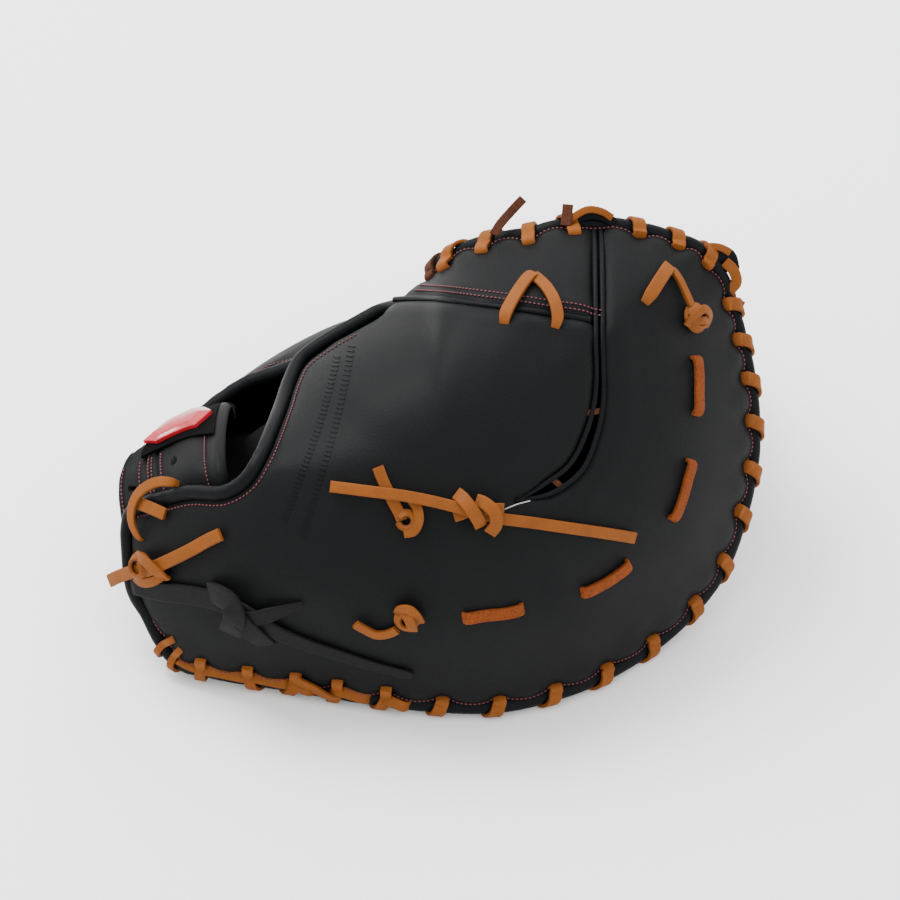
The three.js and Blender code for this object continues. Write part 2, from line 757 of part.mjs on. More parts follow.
// Wrist strap: rows over the wrist, finger end first, each from its heel edge to its hand hole edge
const STRAP_FINGER_ROWS = [
  [[130, 540], [160, 532], [192, 525], [219, 518], -8.5],
  [[124, 512], [156, 507], [190, 502], [220, 494], -8],
  [[122, 484], [152, 476], [188, 468], [221, 462], -4],
  [[128, 463], [156, 448], [190, 434], [223, 430], -0.6],
  [[137, 451], [166, 431], [196, 416], [228, 402], 0],
];
const STRAP_THUMB_ROWS = [
  [[-130, 42, 52], [-118, 48, 60], [-104, 54, 66], [-90, 60, 70], 0],
  [[-128, 48, 40], [-116, 58, 46], [-104, 66, 50], [-93, 73, 54], -4],
  [[-125, 51, 34], [-114, 62, 38], [-104, 71, 41], [-95, 79, 44], -7.5],
];
const strapRows = [
  ...STRAP_FINGER_ROWS.map((row) =>
    row.slice(0, 4).map(([along, across]) => {
      const q = sketch(along, across);
      return finger.point(q.u, q.v, row[4]);
    }),
  ),
  ...STRAP_THUMB_ROWS.map((row) =>
    row.slice(0, 4).map(([x, y, z]) => {
      const q = onPlane(thumbPlane, V(x * DEEP, y * DEEP, z * DEEP));
      return thumb.point(q.u, q.v, row[4]);
    }),
  ),
];
const STRAP_ACROSS = 6;
const STRAP_ALONG = 24;
const strapLines = [0, 1, 2, 3].map((k) => new THREE.CatmullRomCurve3(strapRows.map((row) => row[k])));
const strapPoint = (share, across) => {
  const cross = new THREE.CatmullRomCurve3(strapLines.map((line) => line.getPoint(share)));
  return cross.getPoint(across);
};
const strapNormal = (share, across) => {
  const h = 0.01;
  const a = strapPoint(Math.max(share - h, 0), across);
  const b = strapPoint(Math.min(share + h, 1), across);
  const c = strapPoint(share, Math.max(across - h, 0));
  const d = strapPoint(share, Math.min(across + h, 1));
  return d.sub(c).cross(b.sub(a)).normalize();
};
const strapAt = (share, across, off) =>
  strapPoint(share, across).addScaledVector(strapNormal(share, across), off);
const gridShell = (rows, columns, outer, inner) => {
  const points = [];
  const faces = [];
  const id = (side, i, j) => 2 * (i * columns + j) + side;
  for (let i = 0; i < rows; i++) for (let j = 0; j < columns; j++) points.push(outer(i, j), inner(i, j));
  for (let i = 0; i < rows - 1; i++) {
    for (let j = 0; j < columns - 1; j++) {
      faces.push(...quad(id(0, i, j), id(0, i + 1, j), id(0, i + 1, j + 1), id(0, i, j + 1)));
      faces.push(...quad(id(1, i, j), id(1, i, j + 1), id(1, i + 1, j + 1), id(1, i + 1, j)));
    }
  }
  for (let i = 0; i < rows - 1; i++) {
    faces.push(...quad(id(0, i, 0), id(1, i, 0), id(1, i + 1, 0), id(0, i + 1, 0)));
    const j = columns - 1;
    faces.push(...quad(id(0, i + 1, j), id(1, i + 1, j), id(1, i, j), id(0, i, j)));
  }
  for (let j = 0; j < columns - 1; j++) {
    faces.push(...quad(id(0, 0, j + 1), id(1, 0, j + 1), id(1, 0, j), id(0, 0, j)));
    const i = rows - 1;
    faces.push(...quad(id(0, i, j), id(1, i, j), id(1, i, j + 1), id(0, i, j + 1)));
  }
  return { points, faces };
};
const strapShell = gridShell(
  STRAP_ALONG + 1,
  STRAP_ACROSS + 1,
  (i, j) => strapAt(i / STRAP_ALONG, j / STRAP_ACROSS, 0),
  (i, j) => strapAt(i / STRAP_ALONG, j / STRAP_ACROSS, -STRAP_THICK),
);
const strap = manifoldOf(strapShell.points, strapShell.faces);

// Web: from the finger side's top rim to the thumb side's web edge
const WEB_ROWS = 9;
const WEB_COLUMNS = 6;
const WEB_CLEAR = 2.55; // lace over the rim to the web's edge
const WEB_FINGER_STOPS = [9, 10]; // the web's corners on the finger rim, from its end and from the tip lace
const WEB_THUMB_STOPS = [11, 20]; // the same on the thumb rim
const webShell = (() => {
  const clear = -LACE_THICK - WEB_CLEAR;
  const place = (i, j, off) => {
    const t = i / (WEB_ROWS - 1);
    const alongFinger = lerp(fingerRim.length - WEB_FINGER_STOPS[0], TIP_LACE_END + WEB_FINGER_STOPS[1], t);
    const alongThumb = lerp(thumbRim.length - WEB_THUMB_STOPS[0], thumbHalf + WEB_THUMB_STOPS[1], t);
    const a = fingerRim.near(alongFinger, clear, -EDGE_DEEP / 2);
    const b = thumbRim.near(alongThumb, clear, -EDGE_DEEP / 2);
    const s = j / (WEB_COLUMNS - 1);
    const across = b.at.clone().sub(a.at);
    const sag = across.length() * WEB_SAG * Math.sin(Math.PI * s);
    const up = V(1, 0, 0).cross(across).normalize();
    return a.at.clone().lerp(b.at, s).addScaledVector(up, off - sag);
  };
  const half = WEB_THICK / 2;
  return gridShell(WEB_ROWS, WEB_COLUMNS, (i, j) => place(i, j, half), (i, j) => place(i, j, -half));
})();
const web = manifoldOf(webShell.points, webShell.faces);

// Rolled edge of the hand hole: finger side from the heel end, round the crotch end, back on the thumb side
const rollStop = (lobe, q, off) => ({ at: lobe.point(q.u, q.v, off), out: lobe.normal(q.u, q.v) });
const ROLL_OFF = -1.4;
const handHolePath = [
  ...evenly(holeRoll, 16).reverse().map((q) => rollStop(finger, q, ROLL_OFF)),
  ...evenly(thumbRoll, 9).map((q) => rollStop(thumb, q, ROLL_OFF)),
];
const handHoleRoll = tube(handHolePath, ROLL);
fingerBack = fingerBack.subtract(tube(handHolePath, ROLL + GAP));

// Pipings of the slit and the rolled edge under the double seam
const PIPING_OFF = -0.9;
const pipingAt = (way) => {
  const line = evenly(beside(slitLine, way), 16).slice(2, -1);
  return tube(line.map((q) => rollStop(finger, q, PIPING_OFF)), PIPING, PIPING, 5);
};
const pipingWay = SLIT / 2 + PIPING;
const pipingTip = pipingAt(pipingWay);
const pipingHeel = pipingAt(-pipingWay);
const WELT_OFF = -0.5;
const weltLine = seamWhole.slice(5, -1).map((q) => rollStop(finger, q, WELT_OFF));
const welt = tube(weltLine, WELT, WELT, 6);

// Short laces: [along, across, height over the leather]; a dipped end goes down through a hole
const DIP = -LEATHER - 0.2;
const sketchPath = (rows) =>
  rows.map(([along, across, off]) => {
    const q = sketch(along, across);
    return rollStop(finger, q, off);
  });
const threaded = (rows, dipStart = true, dipEnd = true) => {
  const path = sketchPath(rows.map(([along, across, off = OVER]) => [along, across, off]));
  const dipped = (end, next) => {
    const out = end.at.clone().sub(next.at).normalize();
    return { at: end.at.clone().addScaledVector(end.out, DIP - OVER), out };
  };
  if (dipStart) path.unshift(dipped(path[0], path[1]));
  if (dipEnd) path.push(dipped(path[path.length - 1], path[path.length - 2]));
  return path;
};

// a knot: a squashed lump of lace, joined to its ends
const LUMP_OVER = 0.4;
const lump = (along, across, size, thick) => {
  const wide = size * DEEP;
  const high = thick * DEEP;
  const q = sketch(along, across);
  const normal = finger.normal(q.u, q.v);
  const side = fingerPlane.u.clone().addScaledVector(normal, -fingerPlane.u.dot(normal)).normalize();
  const up = normal.clone().cross(side);
  const geometry = new THREE.IcosahedronGeometry(1, 1);
  geometry.deleteAttribute("normal");
  geometry.deleteAttribute("uv");
  const basis = new THREE.Matrix4().makeBasis(
    side.multiplyScalar(wide / 2),
    up.multiplyScalar(wide / 2),
    normal.clone().multiplyScalar(high / 2),
  );
  basis.setPosition(finger.point(q.u, q.v, high / 2 + LUMP_OVER));
  geometry.applyMatrix4(basis);
  return manifoldFrom(geometry);
};
const joined = (solids) => solids.reduce((a, b) => a.add(b));
// Laces of the finger back: strips as rows, then lumps as along, across, width, height on a mitt of 277 mm.
// open lists the strips that start over the leather, and not in a hole.
const CROSS = OVER + LACE_THICK + 4 * GAP; // height of a lace over another
const SHORT_LACES = {
  v_lace: {
    strips: [
      [[503, 333], [508, 318, OVER + 1.8], [517, 300], [531, 273]],
      [[556, 341], [552, 325, OVER + 1.8], [546, 305], [537, 283]],
    ],
    lumps: [[534, 276, 7.5, 3]],
  },
  corner_lace: {
    strips: [
      [[646, 302], [656, 285], [668, 268]],
      [[691, 308], [684, 290], [672, 270]],
    ],
    lumps: [[669, 270, 6, 3], [696, 318, 12, 6]],
    open: [1],
  },
  dash_lace_1: { strips: [[[694, 360], [695, 386], [694, 413]]] },
  dash_lace_2: { strips: [[[688, 463], [681, 490], [670, 517]]] },
  dash_lace_3: { strips: [[[629, 562], [606, 578], [582, 592]]] },
  dash_lace_4: { strips: [[[521, 606], [493, 611], [464, 614]]] },
  long_lace: {
    strips: [
      [[334, 486], [362, 490, CROSS], [412, 498, CROSS], [440, 504], [475, 511]],
      [[485, 511], [530, 519], [580, 528], [630, 537]],
    ],
    lumps: [[481, 512, 17, 6.5]],
    open: [1],
  },
  x_lace: {
    strips: [
      [[380, 467], [386, 480], [397, 504], [408, 526]],
      [[424, 508], [416, 520], [404, 532], [394, 526]],
    ],
    lumps: [[409, 523, 8, 4]],
    open: [0, 1],
  },
  curl_lace: {
    strips: [[[361, 616], [374, 621], [388, 629], [402, 626]]],
    lumps: [[409, 619, 12, 6]],
  },
};
const shortLaces = Object.entries(SHORT_LACES).map(([name, form]) => {
  const paths = form.strips.map((rows, i) => {
    const dipStart = !(form.open || []).includes(i);
    const dipEnd = form.lumps === undefined;
    return threaded(rows, dipStart, dipEnd);
  });
  const lumps = (form.lumps || []).map((row) => lump(...row));
  const cutters = paths.map((path) => ribbon(path, LACE_WIDE + 2 * GAP, LACE_THICK + 2 * GAP));
  return { name, solid: joined([...paths.map((path) => ribbon(path)), ...lumps]), cutters };
});
for (const short of shortLaces) {
  for (const cutter of short.cutters) {
    fingerBack = fingerBack.subtract(cutter);
    indexPanel = indexPanel.subtract(cutter);
  }
}

// Laces and ties of the heel
const RAISED = 3.6; // height of the heel laces, which cross the rolled edge
const loopLace = ribbon(
  sketchPath([
    [176, 478, 0.5],
    [164, 484, RAISED],
    [150, 498, RAISED + 1],
    [139, 517, RAISED],
    [141, 530, OVER],
    [150, 537, OVER],
  ]),
);
const heelKnot = joined([
  ribbon(sketchPath([[128, 577, OVER], [136, 572, OVER], [147, 566, 3]])),
  ribbon(sketchPath([[147, 566, 3], [170, 557, OVER], [196, 547, OVER], [223, 536, OVER]])),
  lump(149, 565, 16, 7),
]);
const tie = joined([
  ribbon(sketchPath([[152, 592, OVER], [185, 592, OVER], [220, 596, 2.4], [250, 606, 3.5]]), TIE_WIDE),
  ribbon(
    sketchPath([[255, 608, 3.5], [290, 626, 2.2], [330, 643, OVER], [372, 657, OVER], [411, 668, OVER]]),
    TIE_END_WIDE,
  ),
  lump(256, 608, 23, 8),
]);
// Lace ends that stand up over the top rim: along, across, depth out of the sketch
const standing = (rows) =>
  ribbon(
    rows.map(([along, across, depth]) => {
      const q = sketch(along, across);
      return { at: placed(fingerPlane, q.u, q.v, depth * DEEP), out: fingerPlane.w.clone() };
    }),
  );
const topEndHeel = standing([[494, 232, -15.5], [500, 222, -16.5], [512, 210, -19], [523, 200, -21]]);
const topEndTip = standing([[566, 224, -15], [567, 214, -16], [568, 206, -17]]);

// Badge on the strap: a plain long hexagon on a thin backing
const BADGE_SHAPE = [
  [0.5, 0],
  [0.86, 0.22],
  [0.86, 0.78],
  [0.5, 1],
  [0.14, 0.78],
  [0.14, 0.22],
];
// where they lie on the strap: shares along and across
const BADGE_FIELD = { along: [0.425, 0.56], across: [0.2, 0.88] };
const BACKING_FIELD = { along: [0.412, 0.573], across: [0.16, 0.92] };
const badgeField = (shrink) => ([s, a]) => [
  lerp(...BADGE_FIELD.along, lerp(0.5, s, shrink)),
  lerp(...BADGE_FIELD.across, lerp(0.5, a, shrink)),
];
const BACKING_STEPS = { along: 8, across: 6 };
const backingAt = (off) => (i, j) =>
  strapAt(
    lerp(...BACKING_FIELD.along, i / BACKING_STEPS.along),
    lerp(...BACKING_FIELD.across, j / BACKING_STEPS.across),
    off,
  );
const backingShell = gridShell(
  BACKING_STEPS.along + 1,
  BACKING_STEPS.across + 1,
  backingAt(GAP + BACKING_THICK),
  backingAt(GAP),
);
const badgeBacking = manifoldOf(backingShell.points, backingShell.faces);
const badgeFloor = GAP + BACKING_THICK + GAP;
const badgeRings = [
  [0, BADGE_HIGH],
  [0.45, BADGE_HIGH],
  [0.8, BADGE_HIGH],
  [1, BADGE_HIGH * 0.45],
];
const badgeEdge = BADGE_SHAPE.flatMap((p, i) => {
  const next = BADGE_SHAPE[(i + 1) % BADGE_SHAPE.length];
  return [p, [(p[0] + next[0]) / 2, (p[1] + next[1]) / 2]];
});
const badgeAt = (j, i, off) => strapAt(...badgeField(badgeRings[i][0])(badgeEdge[j]), off);
const badgeShell = fanShell(
  badgeEdge.length,
  badgeRings.length,
  (j, i) => badgeAt(j, i, badgeFloor + badgeRings[i][1]),
  (j, i) => badgeAt(j, i, badgeFloor),
);
const badge = manifoldOf(badgeShell.points, badgeShell.faces);

// Parts list: everything is set on the floor, and the lace under the rims is pressed flat on it
const group = new THREE.Group();
const leather = { color: 0x2b2b2c, roughness: 0.6, metalness: 0 };
const lace = { color: 0xb5793a, roughness: 0.7, metalness: 0 };
const add = (name, solid, look) => {
  const mesh = solid.getMesh();
  const geometry = new THREE.BufferGeometry();
  const stride = mesh.numProp;
  const xyz = new Float32Array(mesh.numVert * 3);
  for (let i = 0; i < mesh.numVert; i++) {
    const at = stride * i;
    const [x, y, z] = mesh.vertProperties.subarray(at, at + 3);
    xyz.set([x, y, Math.max(z, FLOOR) - FLOOR], 3 * i);
  }
  geometry.setAttribute("position", new THREE.BufferAttribute(xyz, 3));
  geometry.setIndex(new THREE.BufferAttribute(mesh.triVerts, 1));
  const node = new THREE.Mesh(geometry, new THREE.MeshStandardMaterial(look));
  node.name = name;
  group.add(node);
};
add("finger_back", fingerBack, leather);
add("index_panel", indexPanel, leather);
add("thumb_back", thumbBack, leather);
add("palm_shell", palm, { ...leather, color: 0x333334 });
add("wrist_strap", strap, leather);
add("web_panel", web, leather);
add("finger_binding", fingerBinding.solid, leather);
add("thumb_binding", thumbBinding.solid, leather);
add("heel_lace", heelWhip.solid, lace);
add("hand_hole_roll", handHoleRoll, leather);
add("slit_piping_tip", pipingTip, leather);
add("slit_piping_heel", pipingHeel, leather);
add("seam_roll", welt, leather);
add("badge_backing", badgeBacking, { color: 0x1c1c1e, roughness: 0.95, metalness: 0 });
add("badge", badge, { color: 0xa62a2e, roughness: 0.3, metalness: 0 });
for (const short of shortLaces) add(short.name, short.solid, lace);
add("strap_loop_lace", loopLace, lace);
add("heel_knot_lace", heelKnot, lace);
add("black_tie", tie, { ...leather, color: 0x232324, roughness: 0.85 });
add("top_lace_end_heel", topEndHeel, lace);
add("top_lace_end_tip", topEndTip, lace);
add("finger_rim_lace", fingerWhip.solid, lace);
add("tip_rim_lace", tipWhip.solid, lace);
add("top_rim_lace", topWhip.solid, lace);
add("thumb_rim_lace", thumbWhip.solid, lace);
add("web_rim_lace", webWhip.solid, lace);

// The origin is on the floor, under the middle of the box
const box = new THREE.Box3().setFromObject(group);
const middle = box.getCenter(V());
for (const node of group.children) node.geometry.translate(-middle.x, -middle.y, 0);

export default group;
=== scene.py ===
"""Looks of the first baseman mitt: leather, rolled edges, laces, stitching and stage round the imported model.

Sizes inside the forms are millimetres of the source, with Z up. to_frame() turns them into metres of
the frame.
"""

import math

import bmesh
import bpy
import numpy as np
from mathutils import Matrix, Vector, noise


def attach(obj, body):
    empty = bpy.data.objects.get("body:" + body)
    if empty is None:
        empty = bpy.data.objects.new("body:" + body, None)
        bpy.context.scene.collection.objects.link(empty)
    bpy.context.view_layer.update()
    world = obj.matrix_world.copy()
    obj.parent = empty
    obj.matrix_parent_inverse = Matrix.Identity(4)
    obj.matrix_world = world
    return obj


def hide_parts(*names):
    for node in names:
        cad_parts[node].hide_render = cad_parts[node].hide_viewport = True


bl_info = {
    "name": "First baseman mitt",
    "version": (1, 0, 0),
    "blender": (4, 5, 0),
    "location": "View3D > Sidebar > Mitt",
    "description": "Leather panels, rolled edges, laces and stitching of a first baseman mitt",
    "category": "Object",
}

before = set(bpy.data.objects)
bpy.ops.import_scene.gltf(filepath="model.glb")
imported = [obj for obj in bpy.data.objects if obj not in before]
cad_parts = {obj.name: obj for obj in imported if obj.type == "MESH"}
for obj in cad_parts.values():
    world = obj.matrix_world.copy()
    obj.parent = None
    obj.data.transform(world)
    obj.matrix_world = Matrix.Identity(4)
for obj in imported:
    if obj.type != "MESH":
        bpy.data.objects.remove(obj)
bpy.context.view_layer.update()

# Sizes of the source, in mm
LENGTH = 277.0
BREADTH = 219.0
STAND = 88.4
LEAN = math.pi / 4
DOME = 36.0
HAND = 42.0
THUMB_HAND = 31.0
PALM_WALL = 9.0
LEATHER = 2.4
EDGE_WALL = 6.0
GAP = 0.35
LACE_WIDE = 5.8
LACE_THICK = 1.8
LOOP_PITCH = 23.7
BINDING = 3.0
ROLL = 3.1
PIPING = 1.1
SLIT = 2.4
TIE_WIDE = 9.0
BADGE_HIGH = 3.0
WEB_THICK = 3.0
FLOOR = -1.8
STRAP_THICK = 3.2
PANEL_INSET = 2 * BINDING + 2 * GAP
PALM_UNDER = LEATHER + 2 * GAP
EDGE_DEEP = PALM_UNDER + EDGE_WALL
OVER = LACE_THICK / 2 + 0.55
UNDER = EDGE_DEEP + LACE_THICK / 2 + 0.9
SHIFT = np.array([1.6867, 42.7511, FLOOR])
MM = 0.001
TURN = 2 * math.pi

# The sketch of the finger back: counts along and across, 645 from heel to tips
GRID_ALONG = LENGTH / 645
GRID_ACROSS = BREADTH / 509
SKETCH_MIDDLE = (440, 460)


def unit(a):
    """Vectors at length one."""
    return a / np.maximum(np.linalg.norm(a, axis=-1, keepdims=True), 1e-9)


def mix(a, b, t):
    return a + (b - a) * t


def ease(t):
    """Smooth step of a share."""
    t = np.clip(t, 0, 1)
    return t * t * (3 - 2 * t)


def ridge(distance, high, wide):
    """Height of a soft ridge at a distance from its top line."""
    return high * np.exp(-((distance / wide) ** 2))


def to_frame(points):
    """Millimetres of the source to metres of the frame, pressed flat where it would pass the floor."""
    moved = np.array(points, float)
    moved[..., 2] = np.maximum(moved[..., 2], FLOOR)
    return (moved - SHIFT) * MM


def smooth_line(points, share, closed=False):
    """Places on a centripetal curve through points, at shares from 0 to 1 of its count of points."""
    points = np.asarray(points, float)
    count = len(points)
    spans = count if closed else count - 1
    at = np.asarray(share, float) * spans
    first = np.floor(at).astype(int)
    if closed:
        first %= count
    else:
        first = np.minimum(first, spans - 1)
    weight = (at - np.floor(at)) if closed else at - first
    if closed:
        p0, p1, p2, p3 = (points[(first + k) % count] for k in (-1, 0, 1, 2))
    else:
        padded = np.vstack([2 * points[0] - points[1], points, 2 * points[-1] - points[-2]])
        p0, p1, p2, p3 = (padded[first + k] for k in range(4))
    step = [np.linalg.norm(b - a, axis=-1, keepdims=True) ** 0.5 for a, b in ((p0, p1), (p1, p2), (p2, p3))]
    d1 = np.where(step[1] < 1e-4, 1, step[1])
    d0 = np.where(step[0] < 1e-4, d1, step[0])
    d2 = np.where(step[2] < 1e-4, d1, step[2])
    leave = ((p1 - p0) / d0 - (p2 - p0) / (d0 + d1) + (p2 - p1) / d1) * d1
    arrive = ((p2 - p1) / d1 - (p3 - p1) / (d1 + d2) + (p3 - p2) / d2) * d1
    t = weight[:, None]
    square = -3 * p1 + 3 * p2 - 2 * leave - arrive
    cube = 2 * p1 - 2 * p2 + leave + arrive
    return p1 + leave * t + square * t**2 + cube * t**3


def evenly(points, count, closed=False):
    """count + 1 even places along the curve through points."""
    share = np.linspace(0, 1, 201)
    line = smooth_line(points, share, closed)
    lengths = np.concatenate([[0], np.cumsum(np.linalg.norm(np.diff(line, axis=0), axis=1))])
    wanted = np.interp(np.linspace(0, lengths[-1], count + 1), lengths, share)
    return smooth_line(points, wanted, closed)


def beside(places, way):
    """A line of places moved sideways."""
    ahead = np.vstack([places[1:], places[-1:]]) - np.vstack([places[:1], places[:-1]])
    ahead = unit(ahead)
    return places + np.stack([-ahead[:, 1], ahead[:, 0]], axis=1) * np.reshape(way, (-1, 1))


class Plane:
    """A plane that a lobe is drawn on: u along the mitt, v up the lobe, w out of its back."""

    def __init__(self, origin, v, w):
        self.origin = np.array(origin, float)
        self.axes = np.array([(1, 0, 0), v, w], float)

    def place(self, u, v, w):
        return self.origin + np.stack(np.broadcast_arrays(u, v, w), axis=-1) @ self.axes

    def find(self, points):
        return (np.asarray(points, float) - self.origin) @ self.axes.T


def leaning(origin, lean, way):
    """A plane that leans back from the floor on its own side of the mitt: way -1 for the finger side."""
    c, s = math.cos(lean), math.sin(lean)
    return Plane(origin, (0, c, s), (0, -s, c)) if way < 0 else Plane(origin, (0, -s, c), (0, c, s))


THUMB_LEAN = 0.42
THUMB_MIDDLE = (0, 117, 52)
FINGER_PLANE = leaning((0, 0, STAND), LEAN, -1)
THUMB_PLANE = leaning(THUMB_MIDDLE, THUMB_LEAN, 1)


def sketch(rows):
    """Places of the finger plane for rows of counts along and across."""
    rows = np.asarray(rows, float)
    u = (rows[..., 0] - SKETCH_MIDDLE[0]) * GRID_ALONG
    v = (SKETCH_MIDDLE[1] - rows[..., 1]) * GRID_ACROSS
    return np.stack([u, v], axis=-1)


class Lobe:
    """One lobe: a dome over an outline, with a height for every place on its plane."""

    def __init__(self, plane, centre, rows, powers):
        self.plane, self.centre = plane, centre
        share = np.arange(360) / 360
        edge = smooth_line(rows, share, closed=True)
        power = np.interp(share * len(rows), np.arange(len(rows) + 1), [*powers, powers[0]])
        du, dv = edge[:, 0] - centre[0], edge[:, 1] - centre[1]
        bearing = np.arctan2(dv, du)
        order = np.argsort(bearing)
        self.bearing = bearing[order]
        self.table = [np.hypot(du, dv)[order], edge[order, 2], power[order]]

    def rim(self, bearing):
        return [np.interp(bearing, self.bearing, column, period=TURN) for column in self.table]

    def share(self, u, v):
        du, dv = u - self.centre[0], v - self.centre[1]
        reach, low, power = self.rim(np.arctan2(dv, du))
        return np.hypot(du, dv), reach, low, power

    def inset(self, u, v):
        distance, reach, _, _ = self.share(u, v)
        return reach - distance

    def height(self, u, v):
        distance, reach, low, power = self.share(u, v)
        return self.centre[2] - (self.centre[2] - low) * (distance / reach) ** power

    def normal(self, u, v):
        h = 0.5
        slope_u = (self.height(u + h, v) - self.height(u - h, v)) / (2 * h)
        slope_v = (self.height(u, v + h) - self.height(u, v - h)) / (2 * h)
        local = np.stack(np.broadcast_arrays(-slope_u, -slope_v, 1.0), axis=-1)
        return unit(local @ self.plane.axes)

    def point(self, u, v, off=0.0):
        at = self.plane.place(u, v, self.height(u, v))
        return at + self.normal(u, v) * np.asarray(off, float)[..., None]

    def rim_place(self, bearing):
        reach = self.rim(bearing)[0]
        return self.centre[0] + reach * np.cos(bearing), self.centre[1] + reach * np.sin(bearing)

    def bearing_of(self, u, v):
        return math.atan2(v - self.centre[1], u - self.centre[0])


# Finger lobe outline: along, across, depth (None: on the floor)
FINGER_OUTLINE = [
    (121, 505, -22), (120, 545, -22), (126, 590, -25), (145, 632, -29), (172, 667, -31), (225, 681, -29),
    (290, 691, None), (350, 701, None), (430, 711, None), (500, 712, None), (560, 699, None),
    (607, 681, None), (655, 653, -43), (697, 616, -49), (730, 571, -52), (750, 516, -52),
    (761, 462, -49), (762, 418, -47), (757, 372, -46), (746, 325, -44), (730, 275, -40), (707, 245, -34),
    (672, 230, -30), (625, 219, -26), (575, 217, -24), (529, 227, -24), (480, 237, -28), (445, 253, -36),
    (420, 277, -46), (385, 299, -47), (350, 318, -46), (310, 340, -46), (255, 387, -46), (205, 412, -44),
    (165, 431, -41), (138, 450, -36), (126, 470, -27),
]
FINGER_POWER = 3.0
# Thumb lobe outline: x, y, z, power of the dome's fall
THUMB_OUTLINE = [
    (-4, 94, 103, 2), (18, 113, 99, 2.4), (40, 126, 91, 2.6), (60, 134, 83, 2.6), (78, 140, 75, 2.6),
    (92, 144, 67, 2.6), (102, 147, 55, 2.6), (107, 149, 41, 2.6), (104, 151, 27, 2.6), (93, 153, 13, 2.6),
    (75, 154, 4, 2.6), (52, 153, 1.6, 2.6), (25, 148, 1.6, 2.6), (-5, 139, 1.6, 2.6), (-35, 127, 1.6, 2.6),
    (-62, 113, 1.6, 2.6), (-86, 99, 1.8, 2.6), (-106, 85, 4, 2.6), (-120, 71, 8, 2.6), (-127, 60, 19, 2.2),
    (-127, 52, 34, 2), (-120, 47, 48, 1.8), (-100, 54, 58, 1.7), (-76, 65, 68, 1.6), (-50, 76, 80, 1.6),
    (-25, 86, 93, 1.8),
]


def finger_rows():
    rows = []
    for along, across, depth in FINGER_OUTLINE:
        u, v = sketch((along, across))
        on_floor = (-STAND - v * math.sin(LEAN)) / math.cos(LEAN)
        rows.append((u, v, on_floor if depth is None else depth))
    return rows


FINGER = Lobe(FINGER_PLANE, (*sketch((440, 470)), DOME), finger_rows(), [FINGER_POWER] * len(FINGER_OUTLINE))
THUMB = Lobe(
    THUMB_PLANE,
    (2.0, -2.0, 13.0),
    THUMB_PLANE.find([row[:3] for row in THUMB_OUTLINE]),
    [row[3] for row in THUMB_OUTLINE],
)


class Rim:
    """A lobe's rim between two bearings, by the distance along it."""

    def __init__(self, lobe, start, end):
        self.lobe = lobe
        self.bearings = np.linspace(start, end, 481)
        points = lobe.point(*lobe.rim_place(self.bearings))
        steps = np.linalg.norm(np.diff(points, axis=0), axis=1)
        self.lengths = np.concatenate([[0], np.cumsum(steps)])
        self.length = self.lengths[-1]

    def bearing_for(self, distance):
        return np.interp(distance, self.lengths, self.bearings)

    def distance_at(self, bearing):
        return float(np.interp(bearing, self.bearings, self.lengths))

    def ways(self, bearing, normal):
        """The way out of the rim along the leather, square to the rim."""
        turn = 0.01
        lobe = self.lobe
        before, after = (lobe.point(*lobe.rim_place(bearing + way * turn)) for way in (-1, 1))
        ahead = unit(after - before)
        outward = unit(np.cross(ahead, normal))
        u, v = lobe.rim_place(bearing)
        zero = np.zeros_like(u)
        radial = lobe.plane.place(u, v, zero) - lobe.plane.place(lobe.centre[0], lobe.centre[1], zero)
        side = np.sign(np.sum(outward * radial, axis=-1, keepdims=True))
        return outward * np.where(side == 0, 1, side)

    def place(self, distance, inset):
        bearing = self.bearing_for(distance)
        u, v = self.lobe.rim_place(bearing)
        outward = self.ways(bearing, self.lobe.normal(u, v))
        axes = self.lobe.plane.axes
        return u - outward @ axes[0] * inset, v - outward @ axes[1] * inset

    def near(self, distance, inset, over):
        """Points near the rim, with the normal and the way out there: inset on the leather and height
        over it."""
        distance, inset, over = (np.asarray(a, float) for a in np.broadcast_arrays(distance, inset, over))
        held = np.maximum(inset, PANEL_INSET)
        u, v = self.place(distance, held)
        normal = self.lobe.normal(u, v)
        outward = self.ways(self.bearing_for(distance), normal)
        at = self.lobe.point(u, v) + normal * over[..., None] + outward * (held - inset)[..., None]
        return at, normal, outward

    def places(self, count):
        u, v = self.place(np.linspace(0, self.length, count + 1), PANEL_INSET)
        return np.stack([u, v], axis=-1)


def bearing_at(along, across):
    return FINGER.bearing_of(*sketch((along, across)))


def turn_up(start, end):
    return end + TURN if end < start else end


HEEL_BEARING = bearing_at(135, 615)
FINGER_RIM = Rim(FINGER, HEEL_BEARING, turn_up(HEEL_BEARING, bearing_at(418, 279)))
THUMB_START = THUMB.bearing_of(*THUMB_PLANE.find((-124, 65, 13))[:2])
THUMB_END = THUMB.bearing_of(*THUMB_PLANE.find((-4, 94, 103))[:2])
THUMB_RIM = Rim(THUMB, THUMB_START, turn_up(THUMB_START, THUMB_END))
THUMB_HALF = 0.56 * THUMB_RIM.length


def finger_distance(along, across):
    return FINGER_RIM.distance_at(turn_up(HEEL_BEARING, bearing_at(along, across)))


TIP_LACE_END = finger_distance(726, 262)

